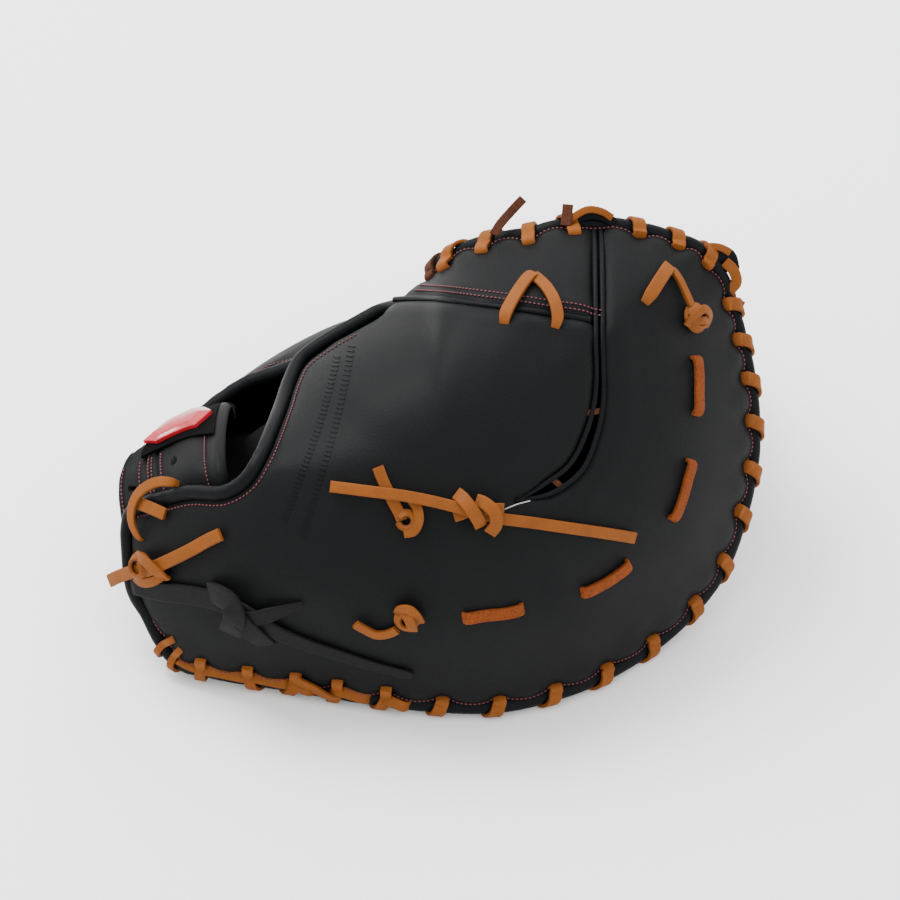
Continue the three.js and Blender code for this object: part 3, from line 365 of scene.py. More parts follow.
HOLE_ROLL = sketch([
    (386, 303), (350, 323), (318, 342), (298, 358), (287, 380), (280, 404), (271, 430), (261, 455),
    (245, 480), (224, 492), (190, 492), (160, 499), (134, 505),
])
INDEX_CORNER = sketch([(430, 277), (419, 282), (404, 292), (391, 303)])
HEEL_END = sketch([(130, 530), (131, 560), (136, 590)])
SLIT_LINE = sketch([(598, 205), (599, 330), (599, 400), (590, 438), (575, 468), (548, 488), (515, 501)])
SEAM_LINE = sketch([
    (280, 352), (330, 325), (360, 300), (390, 297), (425, 297), (470, 303), (530, 311), (600, 322),
])
THUMB_ROLL = THUMB_PLANE.find([
    (-16, 92, 98), (-34, 89, 84), (-57, 81, 69), (-80, 75, 56), (-103, 66, 44), (-121, 56, 34),
])[:, :2]
PALM_MIDDLE = [
    (-5, 87, 94), (-25, 81, 79), (-46, 74, 63), (-67, 66, 48), (-88, 58, 34), (-108, 48, 22), (-124, 38, 14),
    (-135, 30, 10),
]
PALM_UP = unit(np.array([0, -0.2, 1.0]))


# Sheets, tubes and ribbons


def sheet(bm, points, wrap=False, size=(1.0, 1.0)):
    """A sheet of quads through rows and columns of points; wrap joins the last column to the first.
    size is what the sheet's UV map measures across and along."""
    if wrap:
        points = np.concatenate([points, points[:, :1]], axis=1)
    rows, columns = points.shape[:2]
    uv = bm.loops.layers.uv.verify()
    grid = bmesh.ops.create_grid(bm, x_segments=columns - 1, y_segments=rows - 1, size=1, calc_uvs=True)
    placed = to_frame(points)
    faces = set()
    for vert in grid["verts"]:
        j = round((vert.co.x + 1) / 2 * (columns - 1))
        i = round((vert.co.y + 1) / 2 * (rows - 1))
        vert.co = placed[i, j]
        faces.update(vert.link_faces)
    for face in faces:
        for loop in face.loops:
            loop[uv].uv = (loop[uv].uv[0] * size[0], loop[uv].uv[1] * size[1])


def weld(bm, dist=2e-5):
    bmesh.ops.remove_doubles(bm, verts=bm.verts, dist=dist)
    bmesh.ops.dissolve_degenerate(bm, edges=bm.edges, dist=dist / 2)


def slab(bm, top, bottom):
    """A closed slab between two grids of points, with a wall round their edges."""
    sheet(bm, top)
    sheet(bm, bottom)
    around = [np.concatenate([g[0, :-1], g[:-1, -1], g[-1, :0:-1], g[::-1, 0]]) for g in (top, bottom)]
    sheet(bm, np.array(around))
    weld(bm)


def finish_piece(name, bm, look, nodes=(), sharp=50):
    """Makes the bmesh a piece that rides on the mitt and stands for its CAD nodes."""
    weld(bm)
    bmesh.ops.recalc_face_normals(bm, faces=bm.faces)
    mesh = bpy.data.meshes.new(name)
    bm.to_mesh(mesh)
    bm.free()
    mesh.shade_smooth()
    mesh.set_sharp_from_angle(angle=math.radians(sharp))
    mesh.materials.append(look)
    piece = bpy.data.objects.new(name, mesh)
    bpy.context.scene.collection.objects.link(piece)
    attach(piece, "root")
    if nodes:
        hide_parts(*nodes)
    return piece


def frames_of(at, out):
    """Directions square to a path: its outward side and its own side."""
    ahead = np.vstack([at[1:], at[-1:]]) - np.vstack([at[:1], at[:-1]])
    ahead = unit(ahead)
    out = unit(out - ahead * np.sum(out * ahead, axis=1, keepdims=True))
    return out, np.cross(ahead, out)


def swept(bm, at, out, section, swell=None):
    """A closed tube of a section round a path; swell scales the section at each step."""
    out, side = frames_of(at, out)
    scale = np.ones(len(at)) if swell is None else np.asarray(swell, float)
    section = np.asarray(section, float)
    points = (
        at[:, None]
        + side[:, None] * (section[:, 0] * scale[:, None])[..., None]
        + out[:, None] * (section[:, 1] * scale[:, None])[..., None]
    )
    tips = [np.repeat(row.mean(axis=0)[None], len(section), axis=0)[None] for row in (points[0], points[-1])]
    points = np.concatenate([tips[0], points, tips[1]])
    length = np.sum(np.linalg.norm(np.diff(at, axis=0), axis=1)) * MM
    sheet(bm, points, wrap=True, size=(1.0, length))


def round_section(a, b, sides=14):
    turn = TURN * (np.arange(sides) + 0.5) / sides
    return np.stack([a * np.cos(turn), b * np.sin(turn)], axis=1)


def flat_section(wide, thick, sides=16, square=0.3):
    """A flat strap's section with soft corners."""
    turn = TURN * (np.arange(sides) + 0.5) / sides
    c, s = np.cos(turn), np.sin(turn)
    x = np.sign(c) * np.abs(c) ** square * wide / 2
    y = np.sign(s) * np.abs(s) ** square * thick / 2
    return np.stack([x, y], axis=1)


def ribbon(bm, at, out, wide=LACE_WIDE, thick=LACE_THICK, step=1.3, taper=None):
    """A flat lace through stops, smoothed, with its flat side facing out."""
    at, out = np.asarray(at, float), unit(np.asarray(out, float))
    length = np.sum(np.linalg.norm(np.diff(at, axis=0), axis=1))
    count = max(8, round(length / step))
    share = np.linspace(0, 1, count * 3 + 1)
    line = smooth_line(at, share)
    facing = smooth_line(out, share)
    lengths = np.concatenate([[0], np.cumsum(np.linalg.norm(np.diff(line, axis=0), axis=1))])
    even = np.interp(np.linspace(0, lengths[-1], count + 1), lengths, share)
    line = smooth_line(at, even)
    facing = smooth_line(out, even)
    swell = None if taper is None else np.interp(np.linspace(0, 1, len(line)), *taper)
    swept(bm, line, unit(facing), flat_section(wide, thick), swell)


# Noise, distances and cut leather


def soft_noise(points, scale, seed):
    """Smooth noise from -1 to 1 at each point, with swells of about scale mm."""
    flat_points = points.reshape(-1, points.shape[-1]) / scale
    values = [noise.noise(Vector((x, y, z + seed))) for x, y, z in flat_points.tolist()]
    return np.array(values).reshape(points.shape[:-1])


def distance_to(line, u, v):
    """Distance of places from a line of places."""
    best = np.full(np.shape(u), 1e9)
    for a, b in zip(line[:-1], line[1:]):
        d = b - a
        t = np.clip(((u - a[0]) * d[0] + (v - a[1]) * d[1]) / max(d @ d, 1e-9), 0, 1)
        best = np.minimum(best, np.hypot(u - a[0] - t * d[0], v - a[1] - t * d[1]))
    return best


def signed_distance(outline, u, v):
    """Distance from a closed outline, less than zero inside."""
    closed = np.vstack([outline, outline[:1]])
    inside = np.zeros(np.shape(u), bool)
    for a, b in zip(closed[:-1], closed[1:]):
        crosses = (a[1] > v) != (b[1] > v)
        rise = b[1] - a[1]
        if rise != 0:
            inside ^= crosses & (u < (b[0] - a[0]) * (v - a[1]) / rise + a[0])
    away = distance_to(closed, u, v)
    return np.where(inside, -away, away)


# How wide the edge of a leather curls down, in mm
CURL_WIDE = 1.3


def cut_leather(bm, lobe, shape, low, high, spacing, relief, thick, droop=0.9):
    """A sheet of leather over a lobe, cut to a shape that is less than zero inside, with a wall's thickness.
    droop is how far its edge curls down."""
    columns = int((high[0] - low[0]) / spacing) + 1
    rows = int((high[1] - low[1]) / spacing) + 1
    made = bmesh.ops.create_grid(bm, x_segments=columns, y_segments=rows, size=1)["verts"]
    flat = (np.array([vert.co[:2] for vert in made]) + 1) / 2
    flat = mix(np.asarray(low), np.asarray(high), flat)
    outside = shape(flat[:, 0], flat[:, 1]) > 2 * spacing
    for vert, place in zip(made, flat):
        vert.co = (*place, 0)
    bmesh.ops.delete(bm, geom=[vert for vert, out in zip(made, outside) if out], context="VERTS")

    # Points close to the outline move on to it, and edges that cross it are split there
    flat = np.array([vert.co[:2] for vert in bm.verts])
    u, v = flat[:, 0], flat[:, 1]
    depth = shape(u, v)
    h = 0.05
    slope = np.stack([shape(u + h, v) - shape(u - h, v), shape(u, v + h) - shape(u, v - h)], axis=1)
    near = np.abs(depth) < 0.3 * spacing
    flat = np.where(near[:, None], flat - unit(slope) * depth[:, None], flat)
    level = {}
    for vert, place, amount, snapped in zip(bm.verts, flat, depth, near):
        vert.co = (*place, 0)
        level[vert] = 0.0 if snapped else float(amount)
    on_line = [vert for vert, amount in level.items() if amount == 0.0]
    for edge in list(bm.edges):
        a, b = edge.verts
        if level[a] * level[b] < 0:
            vert = bmesh.utils.edge_split(edge, a, level[a] / (level[a] - level[b]))[1]
            level[vert] = 0.0
            on_line.append(vert)
    bmesh.ops.connect_verts(bm, verts=on_line)
    bmesh.ops.delete(bm, geom=[vert for vert in bm.verts if level[vert] > 0], context="VERTS")

    flat = np.array([vert.co[:2] for vert in bm.verts])
    u, v = flat[:, 0], flat[:, 1]
    curl = ridge(shape(u, v), droop, CURL_WIDE)
    for vert, at in zip(bm.verts, to_frame(lobe.point(u, v, relief(u, v) - curl))):
        vert.co = at
    bm.normal_update()
    up = Vector(lobe.plane.axes[2])
    turned = [face for face in bm.faces if face.normal.dot(up) < 0]
    if len(turned) > len(bm.faces) / 2:
        bmesh.ops.reverse_faces(bm, faces=bm.faces)
    bmesh.ops.solidify(bm, geom=bm.faces, thickness=thick * MM)


def lace_places(start, end, pitch):
    """Even distances along a rim for a whip lace."""
    loops = max(1, round((end - start) / pitch))
    return np.linspace(start, end, loops + 1)


# Looks

# Depths of the relief in the materials, in metres, and how much light they reflect
GRAIN_DEPTH = 0.00016
FIBRE_DEPTH = 0.0002
THREAD_DEPTH = 0.0001
SCRATCH_DEPTH = 0.00005
PILE_DEPTH = 0.0005
LEATHER_SPECULAR = 0.07
LACE_SPECULAR = 0.12
FELT_SPECULAR = 0.05


class Amount:
    """A number that varies over the surface. Sums and products with it add Math nodes."""

    def __init__(self, wires, socket):
        self.wires, self.socket = wires, socket

    def _with(self, operation, first, second):
        node = self.wires.add("ShaderNodeMath", {"operation": operation}, {0: first, 1: second})
        return Amount(self.wires, node.outputs[0])

    def __add__(self, other):
        return self._with("ADD", self, other)

    def __radd__(self, other):
        return self._with("ADD", other, self)

    def __sub__(self, other):
        return self._with("SUBTRACT", self, other)

    def __rsub__(self, other):
        return self._with("SUBTRACT", other, self)

    def __mul__(self, other):
        return self._with("MULTIPLY", self, other)

    def __rmul__(self, other):
        return self._with("MULTIPLY", other, self)

    def __pow__(self, other):
        return self._with("POWER", self, other)


class Wires:
    """The nodes of one material."""

    def __init__(self, name):
        self.material = bpy.data.materials.new(name)
        self.material.use_nodes = True
        self.tree = self.material.node_tree
        self.tree.nodes.clear()
        self.place = self.add("ShaderNodeTexCoord").outputs

    def add(self, kind, settings=None, values=None):
        node = self.tree.nodes.new(kind)
        for key, value in (settings or {}).items():
            if key == "stops":
                ramp = node.color_ramp
                for stop, (position, grey) in zip(ramp.elements, value):
                    stop.position = position
                    stop.color = (grey, grey, grey, 1)
            else:
                setattr(node, key, value)
        for key, value in (values or {}).items():
            source = value.socket if isinstance(value, Amount) else value
            if isinstance(source, bpy.types.NodeSocket):
                self.tree.links.new(source, node.inputs[key])
            else:
                node.inputs[key].default_value = source
        return node

    def noise(self, scale, detail=3.0, roughness=0.5, vector=None):
        values = {"Scale": scale, "Detail": detail, "Roughness": roughness}
        values["Vector"] = vector or self.place["Object"]
        return Amount(self, self.add("ShaderNodeTexNoise", None, values).outputs[0])

    def cells(self, scale, feature="DISTANCE_TO_EDGE"):
        values = {"Vector": self.place["Object"], "Scale": scale}
        return Amount(self, self.add("ShaderNodeTexVoronoi", {"feature": feature}, values).outputs[0])

    def stretched(self, across, along):
        """The piece's own UV map, counted across and along."""
        values = {"Vector": self.place["UV"], "Scale": (across, along, 1.0)}
        return self.add("ShaderNodeMapping", None, values).outputs[0]

    def step(self, amount, low, high):
        """0 below low, 1 above high."""
        node = self.add("ShaderNodeValToRGB", {"stops": [(low, 0.0), (high, 1.0)]}, {0: amount})
        return Amount(self, node.outputs[0])

    def mix(self, share, first, second):
        node = self.add("ShaderNodeMix", {"data_type": "RGBA"}, {0: share, 6: first, 7: second})
        return node.outputs[2]

    def finish(self, base, roughness, height=None, depth=0.0002, strength=1.0, **constants):
        values = {"Base Color": base, "Roughness": roughness}
        if height is not None:
            bump = {"Height": height, "Distance": depth, "Strength": strength}
            values["Normal"] = self.add("ShaderNodeBump", None, bump).outputs[0]
        for name, value in constants.items():
            values[name.replace("_", " ")] = value
        shader = self.add("ShaderNodeBsdfPrincipled", None, values)
        self.add("ShaderNodeOutputMaterial", None, {"Surface": shader.outputs[0]})
        return self.material


def colour(name):
    return (*getattr(bpy.context.scene.mitt_colours, name), 1.0)


def size(name):
    """A size of the panel, in mm."""
    return getattr(bpy.context.scene.mitt_sizes, name) / MM


def times(share, base):
    """A colour made darker or lighter."""
    return (*[min(1, share * c) for c in base[:3]], 1.0)


def leather_look(name, base, worn, grain, shine):
    """Full-grain leather: fine pebbles, pores, cloudy colour, rubbed patches, painted shade in the valleys
    between the pebbles and a dull sheen.
    """
    wires = Wires(name)
    clouds = wires.noise(26.0, 4.0, 0.6)
    rubbed = wires.step(wires.noise(11.0, 5.0, 0.62), 0.5, 0.78)
    pebbles = wires.step(wires.cells(1000.0 / grain), 0.0, 0.3)
    pores = wires.noise(3400.0, 2.0, 0.6)
    creases = wires.step(wires.cells(130.0), 0.0, 0.05)
    shade = wires.mix(clouds, times(0.82, base), times(1.16, base))
    rubbed_base = wires.mix(rubbed * 0.55, shade, worn)
    # Painted shade: the valleys between the pebbles of the grain are darkened toward half the base colour.
    valley_shaded_base = wires.mix((1.0 - pebbles) * 0.35, rubbed_base, times(0.5, base))
    rough = shine + 0.12 * clouds + 0.07 * pores - 0.06 * rubbed
    height = 0.55 * pebbles + 0.3 * pores + 0.35 * clouds + 0.12 * creases
    return wires.finish(valley_shaded_base, rough, height, GRAIN_DEPTH, 0.55, Specular_IOR_Level=LEATHER_SPECULAR)


def lace_look(name, base, edge, rough_side):
    """Rawhide lace: fibres along it, darker burnished edges, a few scuffs."""
    wires = Wires(name)
    fibres = wires.noise(1.0, 4.0, 0.65, wires.stretched(34.0, 900.0))
    clouds = wires.noise(120.0, 3.0, 0.55)
    grit = wires.noise(1500.0, 3.0, 0.7)
    place = wires.add("ShaderNodeSeparateXYZ", None, {0: wires.place["UV"]}).outputs[0]
    wave = wires.add("ShaderNodeMath", {"operation": "COSINE"}, {0: Amount(wires, place) * TURN}).outputs[0]
    border = (Amount(wires, wave) * Amount(wires, wave)) ** 7.0
    tone = wires.mix(clouds, times(0.7, base), times(1.3, base))
    tone = wires.mix(wires.step(fibres, 0.45, 0.75) * (0.55 if rough_side else 0.3), tone, edge)
    tone = wires.mix(border * 0.7, tone, edge)
    if rough_side:
        blotch = wires.noise(800.0, 3.0, 0.7)
        tone = wires.mix(wires.step(blotch, 0.5, 0.62) * 0.6, tone, times(0.4, base))
        tone = wires.mix(wires.step(grit, 0.55, 0.66) * 0.5, tone, times(2.2, base))
    height = fibres + grit * (1.6 if rough_side else 0.4)
    rough = 0.62 + 0.2 * grit if rough_side else 0.46 + 0.18 * clouds + 0.08 * grit
    strength = 0.6 if rough_side else 0.35
    return wires.finish(tone, rough, height, FIBRE_DEPTH, strength, Specular_IOR_Level=LACE_SPECULAR)


def thread_look(name, base):
    """Waxed thread with its twist."""
    wires = Wires(name)
    fibres = wires.noise(2600.0, 2.0, 0.6)
    tone = wires.mix(fibres, times(0.6, base), times(1.5, base))
    return wires.finish(tone, 0.45 + 0.2 * fibres, fibres, THREAD_DEPTH, 0.5)


def badge_look():
    """Glossy moulded plastic with cloudy depth."""
    wires = Wires("badge_gloss")
    base = colour("badge")
    clouds = wires.noise(55.0, 3.0, 0.6)
    scratches = wires.noise(420.0, 4.0, 0.7)
    tone = wires.mix(clouds, times(0.72, base), times(1.25, base))
    rough = 0.16 + 0.12 * scratches
    return wires.finish(tone, rough, scratches, SCRATCH_DEPTH, 0.25, Coat_Weight=0.5, Coat_Roughness=0.1)


def felt_look():
    """Black felt: matted fibres and lint."""
    wires = Wires("felt_pile")
    base = colour("felt")
    fibres = wires.noise(1900.0, 5.0, 0.8)
    lint = wires.step(wires.noise(700.0, 3.0, 0.7), 0.58, 0.75)
    tone = wires.mix(lint * 0.4, base, times(3.0, base))
    return wires.finish(tone, 0.9 + 0.1 * lint, fibres, PILE_DEPTH, 0.9, Specular_IOR_Level=FELT_SPECULAR)


def look(name):
    """The material of that name, made the first time it is asked for."""
    found = bpy.data.materials.get(name)
    if found:
        return found
    grain = size("grain")
    if name == "back_leather":
        return leather_look(name, colour("leather"), colour("worn"), grain, 0.46)
    if name == "pocket_leather":
        return leather_look(name, colour("palm"), colour("worn"), grain * 1.3, 0.5)
    if name == "edge_leather":
        return leather_look(name, colour("trim"), colour("worn"), grain * 0.8, 0.4)
    if name == "tie_leather":
        return lace_look(name, colour("tie"), colour("trim"), True)
    if name == "tan_lace":
        return lace_look(name, colour("lace"), colour("lace_edge"), False)
    if name == "raw_lace":
        return lace_look(name, colour("lace_raw"), colour("lace_edge"), True)
    # The darker lace: the worn ends of the lace, and painted shade on the lace inside the slit.
    if name == "dark_lace":
        return lace_look(name, colour("lace_worn_and_shaded"), colour("trim"), True)
    if name == "waxed_thread":
        return thread_look(name, colour("thread"))
    if name == "pale_thread":
        return thread_look(name, colour("thread_end"))
    makers = {"badge_gloss": badge_look, "felt_pile": felt_look}
    return makers[name]()


# What a user may change


def _length(name, description, value):
    return bpy.props.FloatProperty(name=name, description=description, default=value, min=0.0, unit="LENGTH")


def _colour(name, description, value):
    return bpy.props.FloatVectorProperty(
        name=name, description=description, default=value, min=0.0, max=1.0, size=3, subtype="COLOR"
    )


class MittSizes(bpy.types.PropertyGroup):
    """Sizes of the fine details."""

    stitch: _length("Stitch", "Length of one stitch", 0.0014)
    stitch_gap: _length("Stitch gap", "Leather between two stitches", 0.0005)
    thread: _length("Thread", "Thickness of the thread", 0.0008)
    fold: _length("Folds", "Depth of the soft swells in the leather", 0.0007)
    dent: _length("Dents", "Depth of the dent round a lace hole", 0.0016)
    grain: _length("Grain", "Size of one pebble of the grain", 0.0011)
    step: _length("Mesh step", "Distance between points of the leather", 0.0017)
    lace: _length("Lace", "Width of a lace", LACE_WIDE * MM)
    tie: _length("Tie", "Width of the black tie", TIE_WIDE * MM)
    key: bpy.props.FloatProperty(
        name="Key light", description="Power of the main lamp", default=34.0, unit="POWER"
    )


class MittColours(bpy.types.PropertyGroup):
    """Colours of leather, lace, thread and badge."""

    leather: _colour("Leather", "Back leather", (0.0048, 0.0051, 0.0055))
    worn: _colour("Worn leather", "Where the leather is rubbed", (0.0095, 0.0096, 0.01))
    palm: _colour("Palm", "Palm leather", (0.0042, 0.0042, 0.0045))
    trim: _colour("Trim", "Rolled edges and pipings", (0.0034, 0.0038, 0.0045))
    lace: _colour("Lace", "Grain side of the lace", (0.165, 0.048, 0.0055))
    lace_edge: _colour("Lace edge", "Cut edge of the lace", (0.1, 0.025, 0.003))
    lace_raw: _colour("Raw lace", "Flesh side of the lace", (0.145, 0.03, 0.003))
    # This darker lace colour is for the worn ends, and is also painted shade on the lace bits inside the slit.
    lace_worn_and_shaded: _colour("Dark lace", "Worn ends of the lace", (0.055, 0.016, 0.006))
    thread: _colour("Thread", "Stitching", (0.08, 0.004, 0.0085))
    thread_end: _colour("Thread end", "Pale loose thread", (0.3, 0.3, 0.28))
    badge: _colour("Badge", "Badge on the strap", (0.36, 0.008, 0.016))
    felt: _colour("Felt", "Felt behind the badge", (0.0015, 0.0015, 0.0017))
    tie: _colour("Tie", "Black tie", (0.0045, 0.0045, 0.0048))
    floor: _colour("Floor", "Floor of the studio", (0.97, 0.97, 0.97))


# Places that several pieces share

# Lacings of the finger rim: where each lace passes over the rim, along and across, and how much further
# along the rim its hole is, in mm
HEEL_LACING = [
    (162, 654, -4.5), (180, 668, -6.0), (199, 679, -0.5), (257, 690, -5.0), (280, 693, 6.5), (326, 704, 4.5),
    (371, 711, 6.5),
]
FLOOR_LACING = [(430, 717, 5.5), (487, 716, 5.5), (543, 704, 5.5), (594, 686, 6.0), (643, 660, 6.5)]
TIP_LACING = [
    (690, 622, 7.0), (724, 580, 7.5), (747, 530, 8.0), (758, 484, 8.0), (764, 437, 8.0), (762, 393, 8.0),
    (756, 351, 8.0), (745, 312, 7.0),
]
WEB_LACING = [(704, 247, -4.0), (670, 232, -3.5), (632, 221, -3.0)]
TOP_LACING = [(560, 221, -4.5), (531, 228, 1.5), (499, 233, 6.0), (465, 243, 8.0)]
LAST_LACING = [(441, 258, 5.0)]

# Insets from the rim in mm: lace holes, edge of the back leather, middle of the roll. The edge is drawn in by
# EDGE_DRAWN at a lace. The stitches stand HEEL_STITCH_IN from a hand hole's roll and RIM_STITCH_IN inside the
# leather's edge
HOLE_IN = 9.3
HEEL_HOLE_IN = 14.5
TOP_HOLE_IN = 14.5
EDGE_IN = 7.2
EDGE_DRAWN = 1.5
EDGE_DRAWN_WIDE = 4.2
ROLL_IN = 3.6
HEEL_STITCH_IN = 2.2
RIM_STITCH_IN = 1.7
# The roll: how far its middle is under the leather, its half height and half width, and its swell
ROLL_UNDER = -2.8
ROLL_HIGH = 4.5
ROLL_WIDE = 3.6
ROLL_SWELL = 1.05
# Half the turn that a whip lace makes over the roll, in radians
LOOP_TURN = 2.45
# Grooves of the leather in mm, depth and width: at stitches, at the slit and at the seam
STITCH_GROOVE = (0.45, 1.6)
SLIT_GROOVE = (1.2, 2.0)
SEAM_GROOVE = (0.5, 2.2)
# Swells of the leather in mm: from top to top of the large and the small ones, and the share of the small
SWELL_SHARE = 0.35
FINGER_SWELLS = (46, 17)
THUMB_SWELLS = (40, 15)


def crossings(rows):
    """Distances along the finger rim at which a lacing passes over it, and how much further its holes are."""
    return np.array([finger_distance(row[0], row[1]) for row in rows]), np.array([row[2] for row in rows])


def finger_holes():
    """Distances along the finger rim of the lace holes and of the places where laces press on the roll."""
    lists = [crossings(rows) for rows in (HEEL_LACING, FLOOR_LACING, TIP_LACING, WEB_LACING, TOP_LACING)]
    across = np.concatenate([row[0] for row in lists])
    slant = np.concatenate([row[1] for row in lists])
    return across + slant, across + slant / 2


def pinches(distance, places, width=3.6):
    """How much laces press, from 0 to 1, at distances along a rim."""
    total = sum(ridge(distance - place, 1, width) for place in places)
    return np.minimum(total, 1)


def edge_inset(distance, holes):
    """How far in from a rim the edge of the back leather lies: it is drawn in at each lace."""
    return EDGE_IN + EDGE_DRAWN * pinches(distance, holes, EDGE_DRAWN_WIDE)


def edge_places(rim, holes, count):
    """The edge of the back leather along a rim."""
    distance = np.linspace(0, rim.length, count)
    return np.stack(rim.place(distance, edge_inset(distance, holes)), axis=-1)


def finger_outline():
    """The outline of the finger side's back leather: its rim, the corner, the hand hole and the heel."""
    edge = beside(HOLE_ROLL, ROLL + GAP)
    rim = edge_places(FINGER_RIM, finger_holes()[0], 420)[:-8]
    return np.vstack([rim, INDEX_CORNER, evenly(edge, 70)[2:], HEEL_END])


# The slit at even places: how much of it is left toward its end, and half its opening in mm
SLIT_PLACES = evenly(SLIT_LINE, 80)
SLIT_TAPER = 1 - ease((np.linspace(0, 1, 81) - 0.86) / 0.14)
SLIT_OPEN = SLIT / 2 * np.interp(np.linspace(0, 1, 81), [0, 0.5, 0.78, 0.9, 1], [0.35, 0.35, 1.5, 1.3, 0.02])


def slit_outline():
    """The opening between the leathers round the slit, which narrows to its end."""
    half = SLIT_OPEN + (2 * PIPING + 0.1) * np.maximum(SLIT_TAPER, 0.04)
    return np.vstack([beside(SLIT_PLACES, half), beside(SLIT_PLACES, -half)[::-1]])


def hole_stitch_line():
    return evenly(beside(HOLE_ROLL[1:], ROLL + HEEL_STITCH_IN), 120)


def finger_relief(u, v):
    """Swells, folds and dents of the finger back, in mm over its plain shape."""
    fold, dent = size("fold"), size("dent")
    flat = np.stack([u, v, np.zeros_like(u)], axis=-1)
    inset = FINGER.inset(u, v)
    calm = ease((inset - 6) / 26)
    large, small = FINGER_SWELLS
    off = fold * calm * (soft_noise(flat, large, 3.1) + SWELL_SHARE * soft_noise(flat, small, 7.7))
    off -= ridge(distance_to(hole_stitch_line(), u, v), *STITCH_GROOVE)
    slit = np.maximum(signed_distance(slit_outline(), u, v), 0)
    off -= ridge(slit, *SLIT_GROOVE) - ridge(slit - 8, 0.5, 5)
    seam = distance_to(evenly(SEAM_LINE[1:], 40), u, v)
    off += ridge(seam - 5.5, 0.6, 3.5) - ridge(seam, *SEAM_GROOVE)
    holes = np.sort(finger_holes()[0])
    for a, b in zip(*FINGER_RIM.place(holes, HOLE_IN)):
        off -= ridge(np.hypot(u - a, v - b), dent, 12**0.5)
    for a, b in zip(*FINGER_RIM.place((holes[1:] + holes[:-1]) / 2, HOLE_IN + 1)):
        off += ridge(np.hypot(u - a, v - b), 0.7 * dent, 34**0.5)
    return off


def thumb_relief(u, v):
    """Swells of the thumb back and the groove of its stitches, in mm over its plain shape."""
    fold = size("fold")
    flat = np.stack([u, v, np.zeros_like(u)], axis=-1)
    calm = ease((THUMB.inset(u, v) - 6) / 22)
    large, small = THUMB_SWELLS
    off = fold * calm * (soft_noise(flat, large, 13.1) + SWELL_SHARE * soft_noise(flat, small, 17.7))
    line = evenly(beside(THUMB_ROLL, ROLL + HEEL_STITCH_IN), 60)
    return off - ridge(distance_to(line, u, v), *STITCH_GROOVE)


def stitch_row(bm, at, out):
    """Stitches along a line on the leather, each a short thread between two needle holes."""
    length, gap, thick = size("stitch"), size("stitch_gap"), size("thread")
    lengths = np.concatenate([[0], np.cumsum(np.linalg.norm(np.diff(at, axis=0), axis=1))])
    count = int(lengths[-1] / (length + gap))
    for k in range(count):
        middle = (k + 0.5) * lengths[-1] / count
        halves = (-length / 2, length / 2)
        ends = np.array([[np.interp(middle + s, lengths, at[:, i]) for i in range(3)] for s in halves])
        facing = unit(np.array([np.interp(middle, lengths, out[:, i]) for i in range(3)]))
        ahead = unit(ends[1] - ends[0])
        side = unit(np.cross(facing, ahead))
        facing = np.cross(ahead, side)
        place = to_frame(ends.mean(axis=0))
        matrix = Matrix.Identity(4)
        for column, axis, half in ((0, ahead, length / 2), (1, side, thick / 2), (2, facing, thick * 0.42)):
            for row in range(3):
                matrix[row][column] = axis[row] * half * MM
        for row in range(3):
            matrix[row][3] = place[row]
        bmesh.ops.create_uvsphere(bm, u_segments=6, v_segments=5, radius=1, matrix=matrix)


def rim_stitches(bm, rim, start, end, holes, relief):
    """Stitches along the edge of the back leather."""
    distance = np.arange(start, end, 1.0)
    inset = edge_inset(distance, holes) + RIM_STITCH_IN
    u, v = rim.place(distance, inset)
    at, normal, _ = rim.near(distance, inset, relief(u, v) - 0.05)
    stitch_row(bm, at, normal)


def on_back(lobe, places, off):
    """Points and normals over the leather of a lobe."""
    u, v = places[:, 0], places[:, 1]
    return lobe.point(u, v, off), lobe.normal(u, v)


def whipped(bm, rim, across, slant, hole_in=HOLE_IN, wide=None):
    """A whip lace round the roll of a rim. across: distances at which it passes over the edge; slant: how
    much further along its holes are."""
    across = np.asarray(across, float)
    slant = np.broadcast_to(np.asarray(slant, float), across.shape)
    holes = across + slant
    ahead = np.append(holes[1:], holes[-1] + (holes[-1] - holes[-2] if len(holes) > 1 else LOOP_PITCH))
    rows = []
    reach_out, reach_up = ROLL_WIDE + LACE_THICK / 2 + 0.1, ROLL_HIGH + LACE_THICK / 2
    for hole, at, following in zip(holes, across, ahead):
        rows.append((hole, hole_in + 0.3, -LEATHER, 0.2, -1))
        rows.append((hole, hole_in - 0.3, OVER - 0.5, 0.8, -0.6))
        for turn in [*np.linspace(LOOP_TURN, 0, 8), *np.linspace(-0.4, -LOOP_TURN, 6)]:
            c, s = math.cos(turn), math.sin(turn)
            place = mix(at, hole if turn > 0 else following, abs(math.sin(turn / 2)) ** 1.2)
            rows.append((place, ROLL_IN - reach_out * c, ROLL_UNDER + reach_up * s, s, c))
        rows.append((following, hole_in - 0.3, -UNDER - 0.3, -0.8, -0.6))
    rows = np.array(rows)
    at, normal, outward = rim.near(rows[:, 0], rows[:, 1], rows[:, 2])
    ribbon(bm, at, normal * rows[:, 3:4] + outward * rows[:, 4:5], wide or size("lace"), step=1.4)


def on_roll(rim, distance, turned, lift):
    """Points over the roll of a rim and their facings. turned is the angle outward from what faces out of the
    lobe's plane, in degrees; lift is the height over the roll."""
    at, normal, outward = rim.near(np.asarray(distance, float), ROLL_IN, ROLL_UNDER)
    out_of_plane = rim.lobe.plane.axes[2]
    lean = np.arctan2(outward @ out_of_plane, normal @ out_of_plane) + np.radians(turned)
    c, s = np.cos(lean)[:, None], np.sin(lean)[:, None]
    facing = unit(normal * c / ROLL_HIGH + outward * s / ROLL_WIDE)
    on_face = at + (normal * c * ROLL_HIGH + outward * s * ROLL_WIDE) * ROLL_SWELL
    return on_face + facing * np.reshape(lift, (-1, 1)), facing


